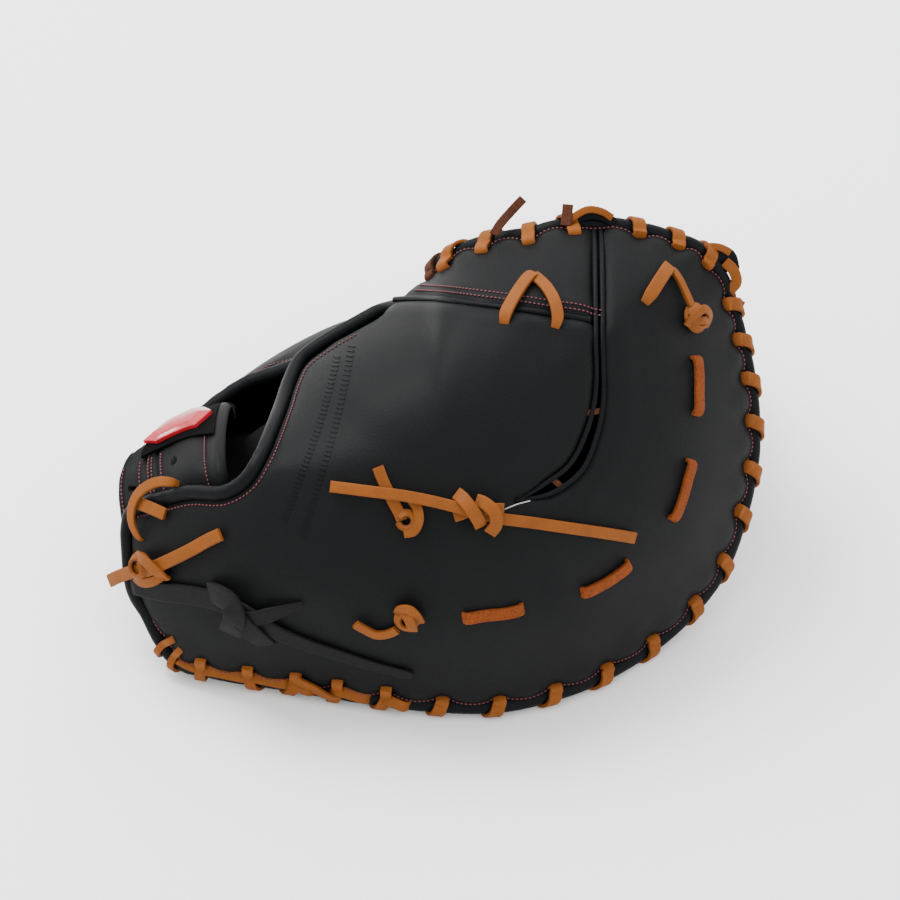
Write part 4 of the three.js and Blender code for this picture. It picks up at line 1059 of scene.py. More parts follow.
def back_path(rows, lobe=FINGER):
    """Points and facings for rows of along, across and height over the leather."""
    rows = np.array([(*row, OVER)[:3] for row in rows], float)
    places = sketch(rows[:, :2])
    return on_back(lobe, places, rows[:, 2])


def dipped(at, out, start=True, end=True, deep=3.4):
    """The path with its ends bent down through holes in the leather."""
    parts, facings = [at], [out]
    if start:
        away = unit(at[0] - at[1])
        parts.insert(0, (at[0] - out[0] * deep + away * 0.7)[None])
        facings.insert(0, away[None])
    if end:
        away = unit(at[-1] - at[-2])
        parts.append((at[-1] - out[-1] * deep + away * 0.7)[None])
        facings.append(away[None])
    return np.vstack(parts), np.vstack(facings)


def spot(along, across):
    """A place on the finger back with its side, up and outward directions."""
    u, v = sketch((along, across))
    normal = FINGER.normal(u, v)
    side = unit(FINGER_PLANE.axes[0] - normal * (FINGER_PLANE.axes[0] @ normal))
    return FINGER.point(u, v), side, np.cross(normal, side), normal


def coil(centre, radius, turns, start, lift, rise, steps=26, tilt=0.8, shrink=0.62):
    """Stops of a lace that is coiled into a round knot, from its outside to its middle."""
    at, side, up, normal = spot(*centre)
    k = np.linspace(0, 1, steps)[:, None]
    angle = start + turns * TURN * k
    around = side * np.cos(angle) + up * np.sin(angle)
    reach = radius * (1 - shrink * k**1.4)
    stops = at + around * reach + normal * (lift + rise * k)
    return stops, unit(normal * mix(0.5, 1.2, k) + around * tilt)


# Operators


class MittOperator(bpy.types.Operator):
    """What the operators of the mitt have in common."""

    bl_options = {"REGISTER", "UNDO"}


class MITT_OT_finger_back(MittOperator):
    """Main back panel, with the slit, and the panel over the index finger"""

    bl_idname = "mitt.finger_back"
    bl_label = "Finger back"

    def execute(self, context):
        outline = finger_outline()
        seam = evenly(SEAM_LINE, 60)
        slit = slit_outline()
        upper = np.vstack([seam, sketch([(600, 180), (250, 180)])])
        low, high = outline.min(axis=0) - 1, outline.max(axis=0) + 1

        def cuts(u, v):
            return np.maximum(-signed_distance(slit, u, v), 0.7 - distance_to(seam, u, v))

        for name, way, node in (
            ("finger_back_leather", -1, "finger_back"),
            ("index_panel_leather", 1, "index_panel"),
        ):

            def shape(u, v, way=way):
                above = way * signed_distance(upper, u, v)
                return np.maximum.reduce([signed_distance(outline, u, v), above, cuts(u, v)])

            bm = bmesh.new()
            cut_leather(bm, FINGER, shape, low, high, size("step"), finger_relief, LEATHER)
            finish_piece(name, bm, look("back_leather"), [node])
        return {"FINISHED"}


def thumb_crossings():
    """Distances at which the two lacings of the thumb rim pass over it."""
    low = lace_places(22, THUMB_HALF - 12, LOOP_PITCH)
    return low, lace_places(THUMB_HALF + 10, THUMB_RIM.length - 34, LOOP_PITCH)


THUMB_SLANT = 6.0


def thumb_holes():
    return np.concatenate(thumb_crossings()) + THUMB_SLANT


class MITT_OT_thumb_back(MittOperator):
    """Back panel of the thumb side"""

    bl_idname = "mitt.thumb_back"
    bl_label = "Thumb back"

    def execute(self, context):
        edge = evenly(beside(THUMB_ROLL, ROLL + GAP), 50)
        outline = np.vstack([edge_places(THUMB_RIM, thumb_holes(), 320), edge])
        low, high = outline.min(axis=0) - 1, outline.max(axis=0) + 1

        def shape(u, v):
            return signed_distance(outline, u, v)

        bm = bmesh.new()
        cut_leather(bm, THUMB, shape, low, high, size("step"), thumb_relief, LEATHER)
        finish_piece("thumb_back_leather", bm, look("back_leather"), ["thumb_back"])
        return {"FINISHED"}


def palm_half(lobe, rim, deep, width, middle, rings, flat_seed):
    """Hand side and pocket side of one half of the palm: columns from the middle of the lobe to its edge."""

    def spread(inset, start, low, high):
        return mix(low, high, ease((inset - start) / width))

    def surface(u, v, side):
        inset = lobe.inset(u, v)
        if side == 0:
            return lobe.point(u, v, -spread(inset, 16, PALM_UNDER, deep - PALM_WALL))
        return lobe.point(u, v, -spread(inset, 18, EDGE_DEEP, deep))

    centre = lobe.centre
    sheets, ends = [], []
    for side in (0, 1):
        columns = []
        for u, v in rim:
            columns.append(surface(mix(centre[0], u, rings), mix(centre[1], v, rings), side))
        lift = (PALM_WALL - 1) * PALM_UP * (side == 0)
        corner = columns[0][-1]
        end = middle[-1] + lift
        heel = [mix(corner, end, t) for t in np.linspace(0, 1, 14)[1:-1][::-1]]
        for target in [*(middle + lift), *heel]:
            goal = lobe.plane.find(target)
            own = surface(goal[0], goal[1], side)
            line = surface(mix(centre[0], goal[0], rings), mix(centre[1], goal[1], rings), side)
            columns.append(line + (target - own) * (rings**1.5)[:, None])
        points = np.array(columns)
        swell = 0.8 * soft_noise(points, 34, flat_seed) * ease((1 - rings) * 4)[None]
        points = points + lobe.plane.axes[2] * swell[..., None] * (1 if side else 0.6)
        sheets.append(np.concatenate([points, points[:1]]))
        ends.append(points[:, -1])
    around = [*range(len(rim) + len(middle) - 1, len(ends[0])), *range(len(rim) + 1)]
    wall = np.array([mix(ends[0][around], ends[1][around], t) for t in np.linspace(0, 1, 5)])
    return [*sheets, wall]


class MITT_OT_palm(MittOperator):
    """Padded palm of both sides, the hand's side and the pocket's side"""

    bl_idname = "mitt.palm"
    bl_label = "Palm"

    def execute(self, context):
        middle = evenly(PALM_MIDDLE, 56)
        rings = np.linspace(0, 1, 34) ** 0.85
        bm = bmesh.new()
        halves = (
            (FINGER, FINGER_RIM.places(190), HAND, 44, 21.0),
            (THUMB, THUMB_RIM.places(150), THUMB_HAND, 34, 27.0),
        )
        for lobe, rim, deep, width, seed in halves:
            for points in palm_half(lobe, rim, deep, width, middle, rings, seed):
                sheet(bm, points)
        weld(bm, 6e-5)
        finish_piece("palm_leather_shell", bm, look("pocket_leather"), ["palm_shell"])
        return {"FINISHED"}


# Ribs of the web: share of the way across it, and width as a share
WEB_RIBS = ((0.2, 0.035), (0.5, 0.045), (0.8, 0.035))
WEB_SAG_SHARE = 0.1


class MITT_OT_web(MittOperator):
    """Web between the finger tips and the thumb tip, with three ribs"""

    bl_idname = "mitt.web"
    bl_label = "Web"

    def execute(self, context):
        clear = -LACE_THICK - 5 * GAP - 0.8
        rows, columns = 90, 50
        t = np.linspace(0, 1, rows)
        start, _, _ = FINGER_RIM.near(mix(FINGER_RIM.length - 9, TIP_LACE_END + 10, t), clear, -EDGE_DEEP / 2)
        end, _, _ = THUMB_RIM.near(mix(THUMB_RIM.length - 11, THUMB_HALF + 20, t), clear, -EDGE_DEEP / 2)
        s = np.linspace(0, 1, columns)
        across = end - start
        reach = np.linalg.norm(across, axis=1)
        up = unit(np.cross(np.array([1.0, 0, 0]), across))
        sag = reach[:, None] * WEB_SAG_SHARE * np.sin(math.pi * s)[None]
        middle = start[:, None] + across[:, None] * s[None, :, None] - up[:, None] * sag[..., None]
        rib = sum(ridge(s[None] - place, 1, wide) for place, wide in WEB_RIBS)
        edge = np.minimum(np.minimum(t, 1 - t)[:, None] * rows, np.minimum(s, 1 - s)[None] * columns)
        half = (WEB_THICK / 2) * ease(edge / 2.5 + 0.25) + 0.9 * rib * ease(edge / 6)
        bm = bmesh.new()
        slab(bm, middle + up[:, None] * half[..., None], middle - up[:, None] * half[..., None])
        finish_piece("web_leather", bm, look("pocket_leather"), ["web_panel"])
        return {"FINISHED"}


class MITT_OT_rolled_edges(MittOperator):
    """Rolled bindings of both rims, of the hand hole, the seam and the slit"""

    bl_idname = "mitt.rolled_edges"
    bl_label = "Rolled edges"

    def execute(self, context):
        trim = look("edge_leather")
        thumb_press = thumb_holes() - THUMB_SLANT / 2
        for name, rim, stop, node, press in (
            ("finger_edge_roll", FINGER_RIM, 10, "finger_binding", finger_holes()[1]),
            ("thumb_edge_roll", THUMB_RIM, 12, "thumb_binding", thumb_press),
        ):
            distance = np.arange(0, rim.length - stop, 1.5)
            swell = (1.05 - 0.17 * pinches(distance, press)) * mix(0.72, 1, ease(distance / 22))
            at, _, outward = rim.near(distance, ROLL_IN, ROLL_UNDER)
            bm = bmesh.new()
            swept(bm, at, outward, round_section(ROLL_HIGH, ROLL_WIDE, 18), swell)
            finish_piece(name, bm, trim, [node])
        bm = bmesh.new()
        places = evenly(HOLE_ROLL, 130)[::-1]
        finger_at, finger_out = on_back(FINGER, places, np.full(len(places), -1.2))
        thumb_places = evenly(THUMB_ROLL, 70)
        thumb_at, thumb_out = on_back(THUMB, thumb_places, np.full(len(thumb_places), -1.4))
        rim_at, _, rim_out = FINGER_RIM.near(np.array([14.0, 8.0, 2.0]), ROLL_IN, ROLL_UNDER)
        heel_row = sketch([(129, 590), (125, 560), (124, 532), (128, 514)])
        heel_at, heel_out = on_back(FINGER, heel_row, np.array([-2.0, -2.0, -1.8, -1.4]))
        at = np.vstack([rim_at, heel_at, finger_at[5:-3:4], thumb_at[3::4]])
        out = np.vstack([rim_out, heel_out, finger_out[5:-3:4], thumb_out[3::4]])
        share = np.linspace(0, 1, 320)
        line, facing = smooth_line(at, share), unit(smooth_line(out, share))
        wrinkle = 1.05 + 0.03 * np.sin(np.arange(320) * 0.9) * ease(np.abs(np.arange(320) - 160) / 160)
        swept(bm, line, facing, round_section(ROLL, ROLL, 18), wrinkle)
        finish_piece("hand_hole_edge", bm, trim, ["hand_hole_roll"])
        for name, way, node in (
            ("slit_edge_tip", 1, "slit_piping_tip"),
            ("slit_edge_heel", -1, "slit_piping_heel"),
        ):
            line = beside(SLIT_PLACES, way * (SLIT_OPEN + PIPING * SLIT_TAPER))[5:]
            at, out = on_back(FINGER, line, np.full(len(line), -1.7))
            bm = bmesh.new()
            swept(bm, at, out, round_section(1.2, 1.2, 12), 1 - 0.35 * (1 - SLIT_TAPER[5:]))
            finish_piece(name, bm, trim, [node])
        seam = evenly(SEAM_LINE, 120)[46:117]
        at, out = on_back(FINGER, seam, np.full(len(seam), -0.9))
        bm = bmesh.new()
        swept(bm, at, out, round_section(1.4, 1.2, 12))
        finish_piece("seam_edge", bm, trim, ["seam_roll"])
        return {"FINISHED"}


# Rows across the strap from its finger end on, each from the heel edge: along, across and height over the
# leather
STRAP_FINGER_ROWS = [
    [(119, 541, -1.0), (160, 532, -8.5), (192, 525, -8.5), (219, 518, -8.5)],
    [(114, 512, -1.5), (153, 507, -7), (190, 502, -8), (220, 494, -8)],
    [(112, 485, -1.5), (150, 477, -4), (188, 468, -4), (221, 462, -4)],
    [(118, 466, -0.8), (155, 449, -0.6), (190, 434, -0.6), (223, 430, -0.6)],
    [(128, 455, 0), (165, 431, 0), (196, 416, 0), (228, 402, 0)],
]
# The same at the thumb end: places of the source, then the height over the leather
STRAP_THUMB_ROWS = [
    ([(-130, 42, 52), (-118, 48, 60), (-104, 54, 66), (-90, 60, 70)], 0),
    ([(-128, 48, 40), (-116, 58, 46), (-104, 66, 50), (-93, 73, 54)], -4),
    ([(-125, 51, 34), (-114, 62, 38), (-104, 71, 41), (-95, 79, 44)], -7.5),
]


def strap_rows():
    rows = []
    for cells in np.array(STRAP_FINGER_ROWS, float):
        places = sketch(cells[:, :2])
        rows.append(FINGER.point(places[:, 0], places[:, 1], cells[:, 2]))
    for cells, off in STRAP_THUMB_ROWS:
        places = THUMB_PLANE.find(cells)
        rows.append(THUMB.point(places[:, 0], places[:, 1], np.full(4, float(off))))
    return np.array(rows)


STRAP_ROWS = strap_rows()


def strap_points(share, across):
    """Points of the strap's outer face: share from the finger end, across from the heel edge."""
    share, across = np.broadcast_arrays(share, across)
    lines = np.stack([smooth_line(STRAP_ROWS[:, k], share.ravel()) for k in range(4)], axis=1)
    points = [smooth_line(four, [a])[0] for four, a in zip(lines, across.ravel())]
    return np.array(points).reshape(*share.shape, 3)


def strap_normals(share, across):
    h = 0.01
    a, b = strap_points(np.maximum(share - h, 0), across), strap_points(np.minimum(share + h, 1), across)
    c, d = strap_points(share, np.maximum(across - h, 0)), strap_points(share, np.minimum(across + h, 1))
    return unit(np.cross(d - c, b - a))


def strap_at(share, across, off):
    share, across, off = np.broadcast_arrays(share, across, off)
    return strap_points(share, across) + strap_normals(share, across) * off[..., None]


# Shares across the strap of its grooves and rows of stitches, and places of its eyelets as shares along and
# across
STRAP_GROOVES = (0.235, 0.34)
STRAP_STITCHES = (0.045, 0.195, 0.27, 0.3, 0.385, 0.81)
EYELETS = ((0.346, 0.51), (0.262, 0.13))
# Where the badge starts and ends along the strap and across it, as shares
BADGE_SHARES = (0.425, 0.56)
BADGE_ACROSS = (0.2, 0.88)


class MITT_OT_strap(MittOperator):
    """Padded wrist strap with its grooves, rolled borders and eyelets"""

    bl_idname = "mitt.strap"
    bl_label = "Wrist strap"

    def execute(self, context):
        rows, columns = 110, 64
        s = np.linspace(0, 1, rows)[:, None]
        a = np.linspace(0, 1, columns)[None]
        share, across = np.broadcast_arrays(s, a)
        groove = sum(ridge(across - g, 1, 0.014) for g in STRAP_GROOVES)
        stitched = sum(ridge(across - g, 1, 0.02) for g in STRAP_STITCHES)
        holes = sum(
            np.exp(-((((across - y) / 0.024) ** 2 + ((share - x) / 0.011) ** 2) ** 2)) for x, y in EYELETS
        )
        pad = 0.8 * np.sin(math.pi * np.clip((across - 0.46) / 0.36, 0, 1))
        roll = ridge(across - 0.93, 0.9, 0.045) + ridge(across - 0.018, 0.7, 0.018)
        edge = np.minimum(across, 1 - across) * columns
        fall = 2.2 * (1 - ease(edge / 2.2 + 0.1))
        swell = 0.5 * soft_noise(np.stack([share * 9, across * 3, across * 0], axis=-1), 1.0, 5.0)
        top = -1.5 * groove - 0.35 * stitched + pad + roll - fall + swell - 4.2 * holes
        bm = bmesh.new()
        under = -STRAP_THICK + 0.8 * (1 - ease(edge / 2.2 + 0.1))
        slab(bm, strap_at(share, across, top), strap_at(share, across, under))
        piece = finish_piece("strap_leather", bm, look("back_leather"), ["wrist_strap"])
        return {"FINISHED"}


# Corners of the badge, and its rings from the middle out: share of its reach, share of its height
BADGE_SHAPE = [(0.5, 0), (0.86, 0.22), (0.86, 0.78), (0.5, 1), (0.14, 0.78), (0.14, 0.22)]
BADGE_RINGS = [
    (0, 1.0), (0.3, 1.0), (0.6, 0.97), (0.72, 0.9), (0.76, 0.8), (0.93, 0.62), (0.99, 0.5), (1, 0.0),
]


class MITT_OT_badge(MittOperator):
    """Plain bevelled badge on the strap and the felt behind it"""

    bl_idname = "mitt.badge"
    bl_label = "Badge"

    def execute(self, context):
        corners = np.array(BADGE_SHAPE, float)
        line = np.vstack([corners, corners[:1]])
        edge = np.vstack([mix(p, q, np.linspace(0, 1, 13)[:-1, None]) for p, q in zip(line[:-1], line[1:])])
        base = GAP + 1.2 + 0.1

        def ring(r, high):
            place = mix(0.5, edge, r)
            share, across = mix(*BADGE_SHARES, place[:, 0]), mix(*BADGE_ACROSS, place[:, 1])
            return strap_at(share, across, base + BADGE_HIGH * high)

        rows = [ring(r, high) for r, high in BADGE_RINGS]
        under = [ring(r, 0) for r in (0.7, 0.35, 0)]
        bm = bmesh.new()
        sheet(bm, np.array([*rows, *under]), wrap=True)
        finish_piece("strap_badge", bm, look("badge_gloss"), ["badge"], sharp=14)
        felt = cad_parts["badge_backing"]
        felt.data.materials.clear()
        felt.data.materials.append(look("felt_pile"))
        return {"FINISHED"}


# Distances of the double seam's two rows of stitches from its line, in mm
SEAM_ROWS = (2.7, 4.8)


class MITT_OT_stitching(MittOperator):
    """Crimson stitches of the rims, the hand hole, the double seam and the strap"""

    bl_idname = "mitt.stitching"
    bl_label = "Stitching"

    def execute(self, context):
        thread = look("waxed_thread")
        bm = bmesh.new()
        rim_stitches(bm, FINGER_RIM, 4, FINGER_RIM.length - 8, finger_holes()[0], finger_relief)
        finish_piece("finger_rim_stitches", bm, thread)
        bm = bmesh.new()
        rim_stitches(bm, THUMB_RIM, 4, THUMB_RIM.length - 14, thumb_holes(), thumb_relief)
        finish_piece("thumb_rim_stitches", bm, thread)
        bm = bmesh.new()
        line = hole_stitch_line()
        at, out = on_back(FINGER, line, finger_relief(line[:, 0], line[:, 1]) + 0.2)
        stitch_row(bm, at, out)
        line = evenly(beside(THUMB_ROLL, ROLL + HEEL_STITCH_IN), 60)
        at, out = on_back(THUMB, line, thumb_relief(line[:, 0], line[:, 1]) + 0.2)
        stitch_row(bm, at, out)
        finish_piece("hand_hole_stitches", bm, thread)
        bm = bmesh.new()
        outline = finger_outline()
        for way in SEAM_ROWS:
            line = evenly(beside(evenly(SEAM_LINE[2:], 60), way), 140)
            line = line[signed_distance(outline, line[:, 0], line[:, 1]) < -1.2]
            at, out = on_back(FINGER, line, finger_relief(line[:, 0], line[:, 1]) + 0.25)
            stitch_row(bm, at, out)
        finish_piece("seam_stitches", bm, thread)
        bm = bmesh.new()
        share = np.linspace(0.03, 0.97, 90)
        for across in STRAP_STITCHES:
            clear = share if across > 0.8 else share[(share < 0.405) | (share > 0.58)]
            for part in np.split(clear, np.where(np.diff(clear) > 0.05)[0] + 1):
                at = strap_at(part, np.full(len(part), across), np.full(len(part), 0.15))
                stitch_row(bm, at, strap_normals(part, np.full(len(part), across)))
        finish_piece("strap_stitches", bm, thread)
        return {"FINISHED"}


class MITT_OT_rim_laces(MittOperator):
    """Whip laces over the rims of both sides"""

    bl_idname = "mitt.rim_laces"
    bl_label = "Rim laces"

    def execute(self, context):
        tan, dark = look("tan_lace"), look("dark_lace")
        low, high = thumb_crossings()
        for name, rim, places, hole_in, node, material in (
            ("floor_rim_lacing", FINGER_RIM, crossings(FLOOR_LACING), HOLE_IN, ["finger_rim_lace"], tan),
            ("tip_rim_lacing", FINGER_RIM, crossings(TIP_LACING), HOLE_IN, ["tip_rim_lace"], tan),
            ("web_side_lacing", FINGER_RIM, crossings(WEB_LACING), HOLE_IN, [], tan),
            ("top_rim_lacing", FINGER_RIM, crossings(TOP_LACING), TOP_HOLE_IN, ["top_rim_lace"], tan),
            ("top_last_lacing", FINGER_RIM, crossings(LAST_LACING), HOLE_IN, [], dark),
            ("thumb_rim_lacing", THUMB_RIM, (low, THUMB_SLANT), HOLE_IN, ["thumb_rim_lace"], tan),
            ("web_rim_lacing", THUMB_RIM, (high, THUMB_SLANT), HOLE_IN, ["web_rim_lace"], tan),
        ):
            bm = bmesh.new()
            whipped(bm, rim, *places, hole_in)
            finish_piece(name, bm, material, node)
        return {"FINISHED"}


# Widths of the heel lacing in mm: its first two loops, which are seen from their edge, and the others
HEEL_FIRST_WIDE = 3.2
HEEL_WIDE = 4.9
# How high a run of lace lies over the roll, and how far its ends go down into it, in mm
RUN_LIFT = LACE_THICK / 2 + 0.6
RUN_DIP = 2.6
# Runs of the heel lacing along the roll, from place to place, and the angles that its ends are turned outward
HEEL_RUNS = [
    ((183, 660), (204, 671), -6, 4), ((203, 673), (252, 683), 6, 8), ((252, 680), (291, 690), 0, 12),
    ((289, 688), (312, 700), 4, 26), ((336, 690), (370, 703), -4, 18), ((385, 700), (408, 716), 0, 34),
]
# The lace that slants from its hole down to the roll: distance from the hole, inset, height and
# outward facing
HEEL_SLANT_AT = (297, 694)
HEEL_SLANT = [
    (0, 14.0, -1.6, 0), (0.8, 13.0, 1.5, 0), (4, 11.2, 2.0, 0), (8, 9.2, 2.2, 0), (12, 7.0, 2.8, 0.1),
    (16, 5.4, 3.0, 0.3), (19, 4.6, 1.6, 0.4),
]


class MITT_OT_heel_lacing(MittOperator):
    """Heel lacing: legs over the rim and the runs that lie along it"""

    bl_idname = "mitt.heel_lacing"
    bl_label = "Heel lacing"

    def execute(self, context):
        bm = bmesh.new()
        whipped(bm, FINGER_RIM, *crossings(HEEL_LACING[:2]), hole_in=HEEL_HOLE_IN, wide=HEEL_FIRST_WIDE)
        whipped(bm, FINGER_RIM, *crossings(HEEL_LACING[2:]), hole_in=HEEL_HOLE_IN, wide=HEEL_WIDE)
        for start, end, turned_start, turned_end in HEEL_RUNS:
            t = np.linspace(0, 1, 9)
            distance = mix(finger_distance(*start), finger_distance(*end), t)
            lift = RUN_LIFT - RUN_DIP * (1 - ease(6 * np.minimum(t, 1 - t)))
            at, facing = on_roll(FINGER_RIM, distance, mix(turned_start, turned_end, t), lift)
            ribbon(bm, at, facing, wide=HEEL_WIDE)
        rows = np.array(HEEL_SLANT)
        distance = finger_distance(*HEEL_SLANT_AT) + rows[:, 0]
        at, normal, outward = FINGER_RIM.near(distance, rows[:, 1], rows[:, 2])
        ribbon(bm, at, normal + outward * rows[:, 3:], wide=HEEL_WIDE)
        finish_piece("heel_lacing", bm, look("tan_lace"), ["heel_lace"])
        return {"FINISHED"}


# Laces of the back: along, across and height over the leather at each stop
V_LEFT = [
    (504, 325, 0.3), (506, 318, 2.2), (515, 302, 2.7), (525, 287, 2.6), (531, 279, 1.8), (534, 276, 0.6),
]
V_RIGHT = [
    (554, 329, 0.3), (556, 321, 2.0), (553, 306, 2.6), (546, 292, 2.0), (538, 282, 1.0), (533, 277, 0.2),
]
CORNER_LEFT = [(644, 303, 0.3), (648, 296, 2.2), (656, 284, 2.7), (664, 273, 2.4), (668, 268, 1.0)]
CORNER_RIGHT = [(670, 271, 0.8), (676, 281, 1.9), (681, 293, 2.3), (686, 308, 3.2)]
CORNER_ARCH = [(684, 327, 1.4), (686, 318, 5.0), (693, 312, 6.3), (700, 318, 5.2), (702, 328, 1.6)]
CORNER_END = [(687, 323, 3.6), (693, 323, 5.4), (700, 322, 4.6)]
DASHES = [
    [(694, 359, 1.5), (696, 373, 1.6), (696, 392, 1.6), (695, 413, 1.5)],
    [(689, 462, 1.5), (685, 478, 1.6), (680, 496, 1.6), (671, 517, 1.5)],
    [(626, 563, 1.5), (613, 574, 1.6), (598, 583, 1.6), (582, 590, 1.5)],
    [(520, 606, 1.5), (505, 610, 1.6), (485, 612, 1.6), (465, 615, 1.5)],
]
LONG_LEFT = [
    (333, 486, 3.2), (350, 488, 3.6), (374, 491, 4.0), (405, 495, 4.2), (436, 501, 4.2), (460, 507, 4.2),
    (482, 513, 4.4),
]
LONG_RIGHT = [
    (478, 512, 4.0), (500, 517, 3.0), (530, 521, 1.9), (565, 526, 1.7), (600, 531, 1.7), (631, 536, 1.9),
]
LONG_KNOT = [
    [(457, 493, 2.2), (462, 497, 5.4), (470, 507, 7.2), (477, 518, 5.8), (480, 524, 2.2)],
    [(476, 499, 4.6), (484, 502, 6.6), (493, 511, 7.4), (494, 522, 5.8), (489, 531, 2.2)],
    [(482, 509, 5.0), (492, 507, 4.6), (502, 507, 3.4)],
    [(470, 509, 2.6), (463, 513, 1.8), (454, 516, 1.6)],
]
X_STRIP = [(379, 467, 2.0), (384, 480, 1.7), (392, 497, 1.6), (400, 512, 1.8), (403, 519, 2.0)]
X_TAIL = [(405, 531, 2.6), (414, 529, 3.4), (419, 520, 3.2), (418, 508, 2.4), (413, 500, 0.4)]
CURL = [(358, 617, 4.2), (366, 623, 3.2), (378, 630, 2.2), (390, 629, 2.0), (398, 625, 2.4)]
CURL_OVER = [(399, 609, 1.6), (402, 603, 4.4), (411, 602, 5.6), (418, 609, 4.6), (421, 618, 2.0)]
CURL_FRONT = [(404, 605, 3.2), (409, 609, 5.2), (413, 616, 5.6), (414, 624, 3.4)]


# A lace narrows where it goes into a round hole: share of its length, share of its width
HOLE_TAPER = ([0, 0.12, 0.24, 1], [0.4, 0.75, 1, 1])


class MITT_OT_back_laces(MittOperator):
    """Short laces on the finger back, with their knots"""

    bl_idname = "mitt.back_laces"
    bl_label = "Back laces"

    def execute(self, context):
        tan, raw = look("tan_lace"), look("raw_lace")
        bm = bmesh.new()
        ribbon(bm, *dipped(*back_path(V_RIGHT), end=False), wide=5.2, taper=HOLE_TAPER)
        ribbon(bm, *dipped(*back_path(V_LEFT), end=False), wide=5.6, taper=HOLE_TAPER)
        finish_piece("v_lacing", bm, tan, ["v_lace"])

        bm = bmesh.new()
        ribbon(bm, *dipped(*back_path(CORNER_LEFT)), wide=5.8, taper=HOLE_TAPER)
        ribbon(bm, *dipped(*back_path(CORNER_RIGHT), end=False), wide=3.6)
        stops, facing = coil((692, 319), 5.0, 1.12, 2.4, 2.4, 1.8, shrink=0.1, tilt=1.1)
        ribbon(bm, stops, facing, wide=4.4, thick=1.8, step=0.9)
        ribbon(bm, *back_path(CORNER_ARCH), wide=3.8, thick=1.6, step=0.7)
        ribbon(bm, *back_path(CORNER_END), wide=3.6, thick=1.6, step=0.7)
        finish_piece("corner_lacing", bm, tan, ["corner_lace"])

        for k, rows in enumerate(DASHES, 1):
            bm = bmesh.new()
            ribbon(bm, *dipped(*back_path(rows)), wide=5.4)
            finish_piece(f"dash_lacing_{k}", bm, raw, [f"dash_lace_{k}"])

        bm = bmesh.new()
        ribbon(bm, *back_path(LONG_LEFT), wide=5.0)
        ribbon(bm, *back_path(LONG_RIGHT), wide=5.0)
        for rows, wide in zip(LONG_KNOT, (5.8, 5.6, 4.6, 4.4)):
            ribbon(bm, *back_path(rows), wide=wide, thick=1.9, step=0.9)
        finish_piece("long_lacing", bm, tan, ["long_lace"])

        bm = bmesh.new()
        ribbon(bm, *back_path(X_STRIP), wide=5.0)
        stops, facing = coil((407, 519), 3.5, 0.9, 3.4, 2.2, 0.8, shrink=0.1, tilt=1.1)
        ribbon(bm, stops, facing, wide=3.6, thick=1.7, step=0.8)
        ribbon(bm, *dipped(*back_path(X_TAIL), start=False), wide=4.4, step=0.9)
        finish_piece("x_lacing", bm, tan, ["x_lace"])

        bm = bmesh.new()
        ribbon(bm, *back_path(CURL), wide=3.8, thick=2.2)
        stops, facing = coil((408, 615), 4.2, 1.15, 3.9, 1.9, 1.6, shrink=0.12, tilt=1.1)
        ribbon(bm, stops, facing, wide=4.0, thick=1.8, step=0.9)
        ribbon(bm, *back_path(CURL_OVER), wide=4.0, thick=1.7, step=0.8)
        ribbon(bm, *back_path(CURL_FRONT), wide=4.4, thick=1.7, step=0.8)
        finish_piece("curl_lacing", bm, tan, ["curl_lace"])
        return {"FINISHED"}


# Laces of the heel, and the tie
STRAP_ARC = [
    (175, 483, 1.6), (167, 484, 4.2), (156, 489, 5.0), (147, 497, 5.2), (141, 508, 4.8), (139, 520, 4.2),
    (140, 530, 3.0), (143, 539, 1.2),
]
STRAP_ARC_TAPER = ([0, 0.1, 0.3, 0.6, 0.85, 1], [0.6, 0.85, 1, 1, 0.7, 0.2])
STRAP_CROSS = [(140, 503, 1.8), (147, 505, 2.8), (156, 508, 3.0), (163, 511, 2.6), (169, 514, 1.8)]
KNOT_LEFT = [(112, 580, 1.8), (118, 577, 2.2), (128, 573, 2.4), (138, 570, 3.0), (150, 567, 3.4)]
KNOT_RIGHT = [
    (150, 570, 3.6), (161, 565, 4.4), (176, 558, 3.4), (196, 548, 2.4), (212, 539, 2.0), (225, 533, 2.2),
]
KNOT_OVER = [(146, 554, 4.4), (154, 556, 6.4), (162, 562, 6.8), (168, 570, 5.0), (170, 577, 1.8)]
KNOT_LOW = [(139, 575, 2.4), (149, 579, 4.2), (160, 578, 4.4), (168, 573, 3.0)]


class MITT_OT_heel_laces(MittOperator):
    """Laces of the heel and the strap's end, with the heel knot"""

    bl_idname = "mitt.heel_laces"
    bl_label = "Heel laces"

    def execute(self, context):
        tan = look("tan_lace")
        bm = bmesh.new()
        ribbon(bm, *dipped(*back_path(STRAP_ARC)), wide=4.9, taper=STRAP_ARC_TAPER)
        ribbon(bm, *back_path(STRAP_CROSS), wide=5.4)
        finish_piece("strap_end_lacing", bm, tan, ["strap_loop_lace"])

        bm = bmesh.new()
        ribbon(bm, *back_path(KNOT_LEFT))
        ribbon(bm, *back_path(KNOT_RIGHT))
        stops, facing = coil((146, 565), 5.0, 1.12, 0.3, 3.6, 1.4, shrink=0.12, tilt=1.1)
        ribbon(bm, stops, facing, wide=4.6, thick=1.8, step=0.9)
        ribbon(bm, *back_path(KNOT_OVER), wide=4.8, step=0.8)
        ribbon(bm, *back_path(KNOT_LOW), wide=4.2, step=0.8)
        finish_piece("heel_knot", bm, tan, ["heel_knot_lace"])
        return {"FINISHED"}


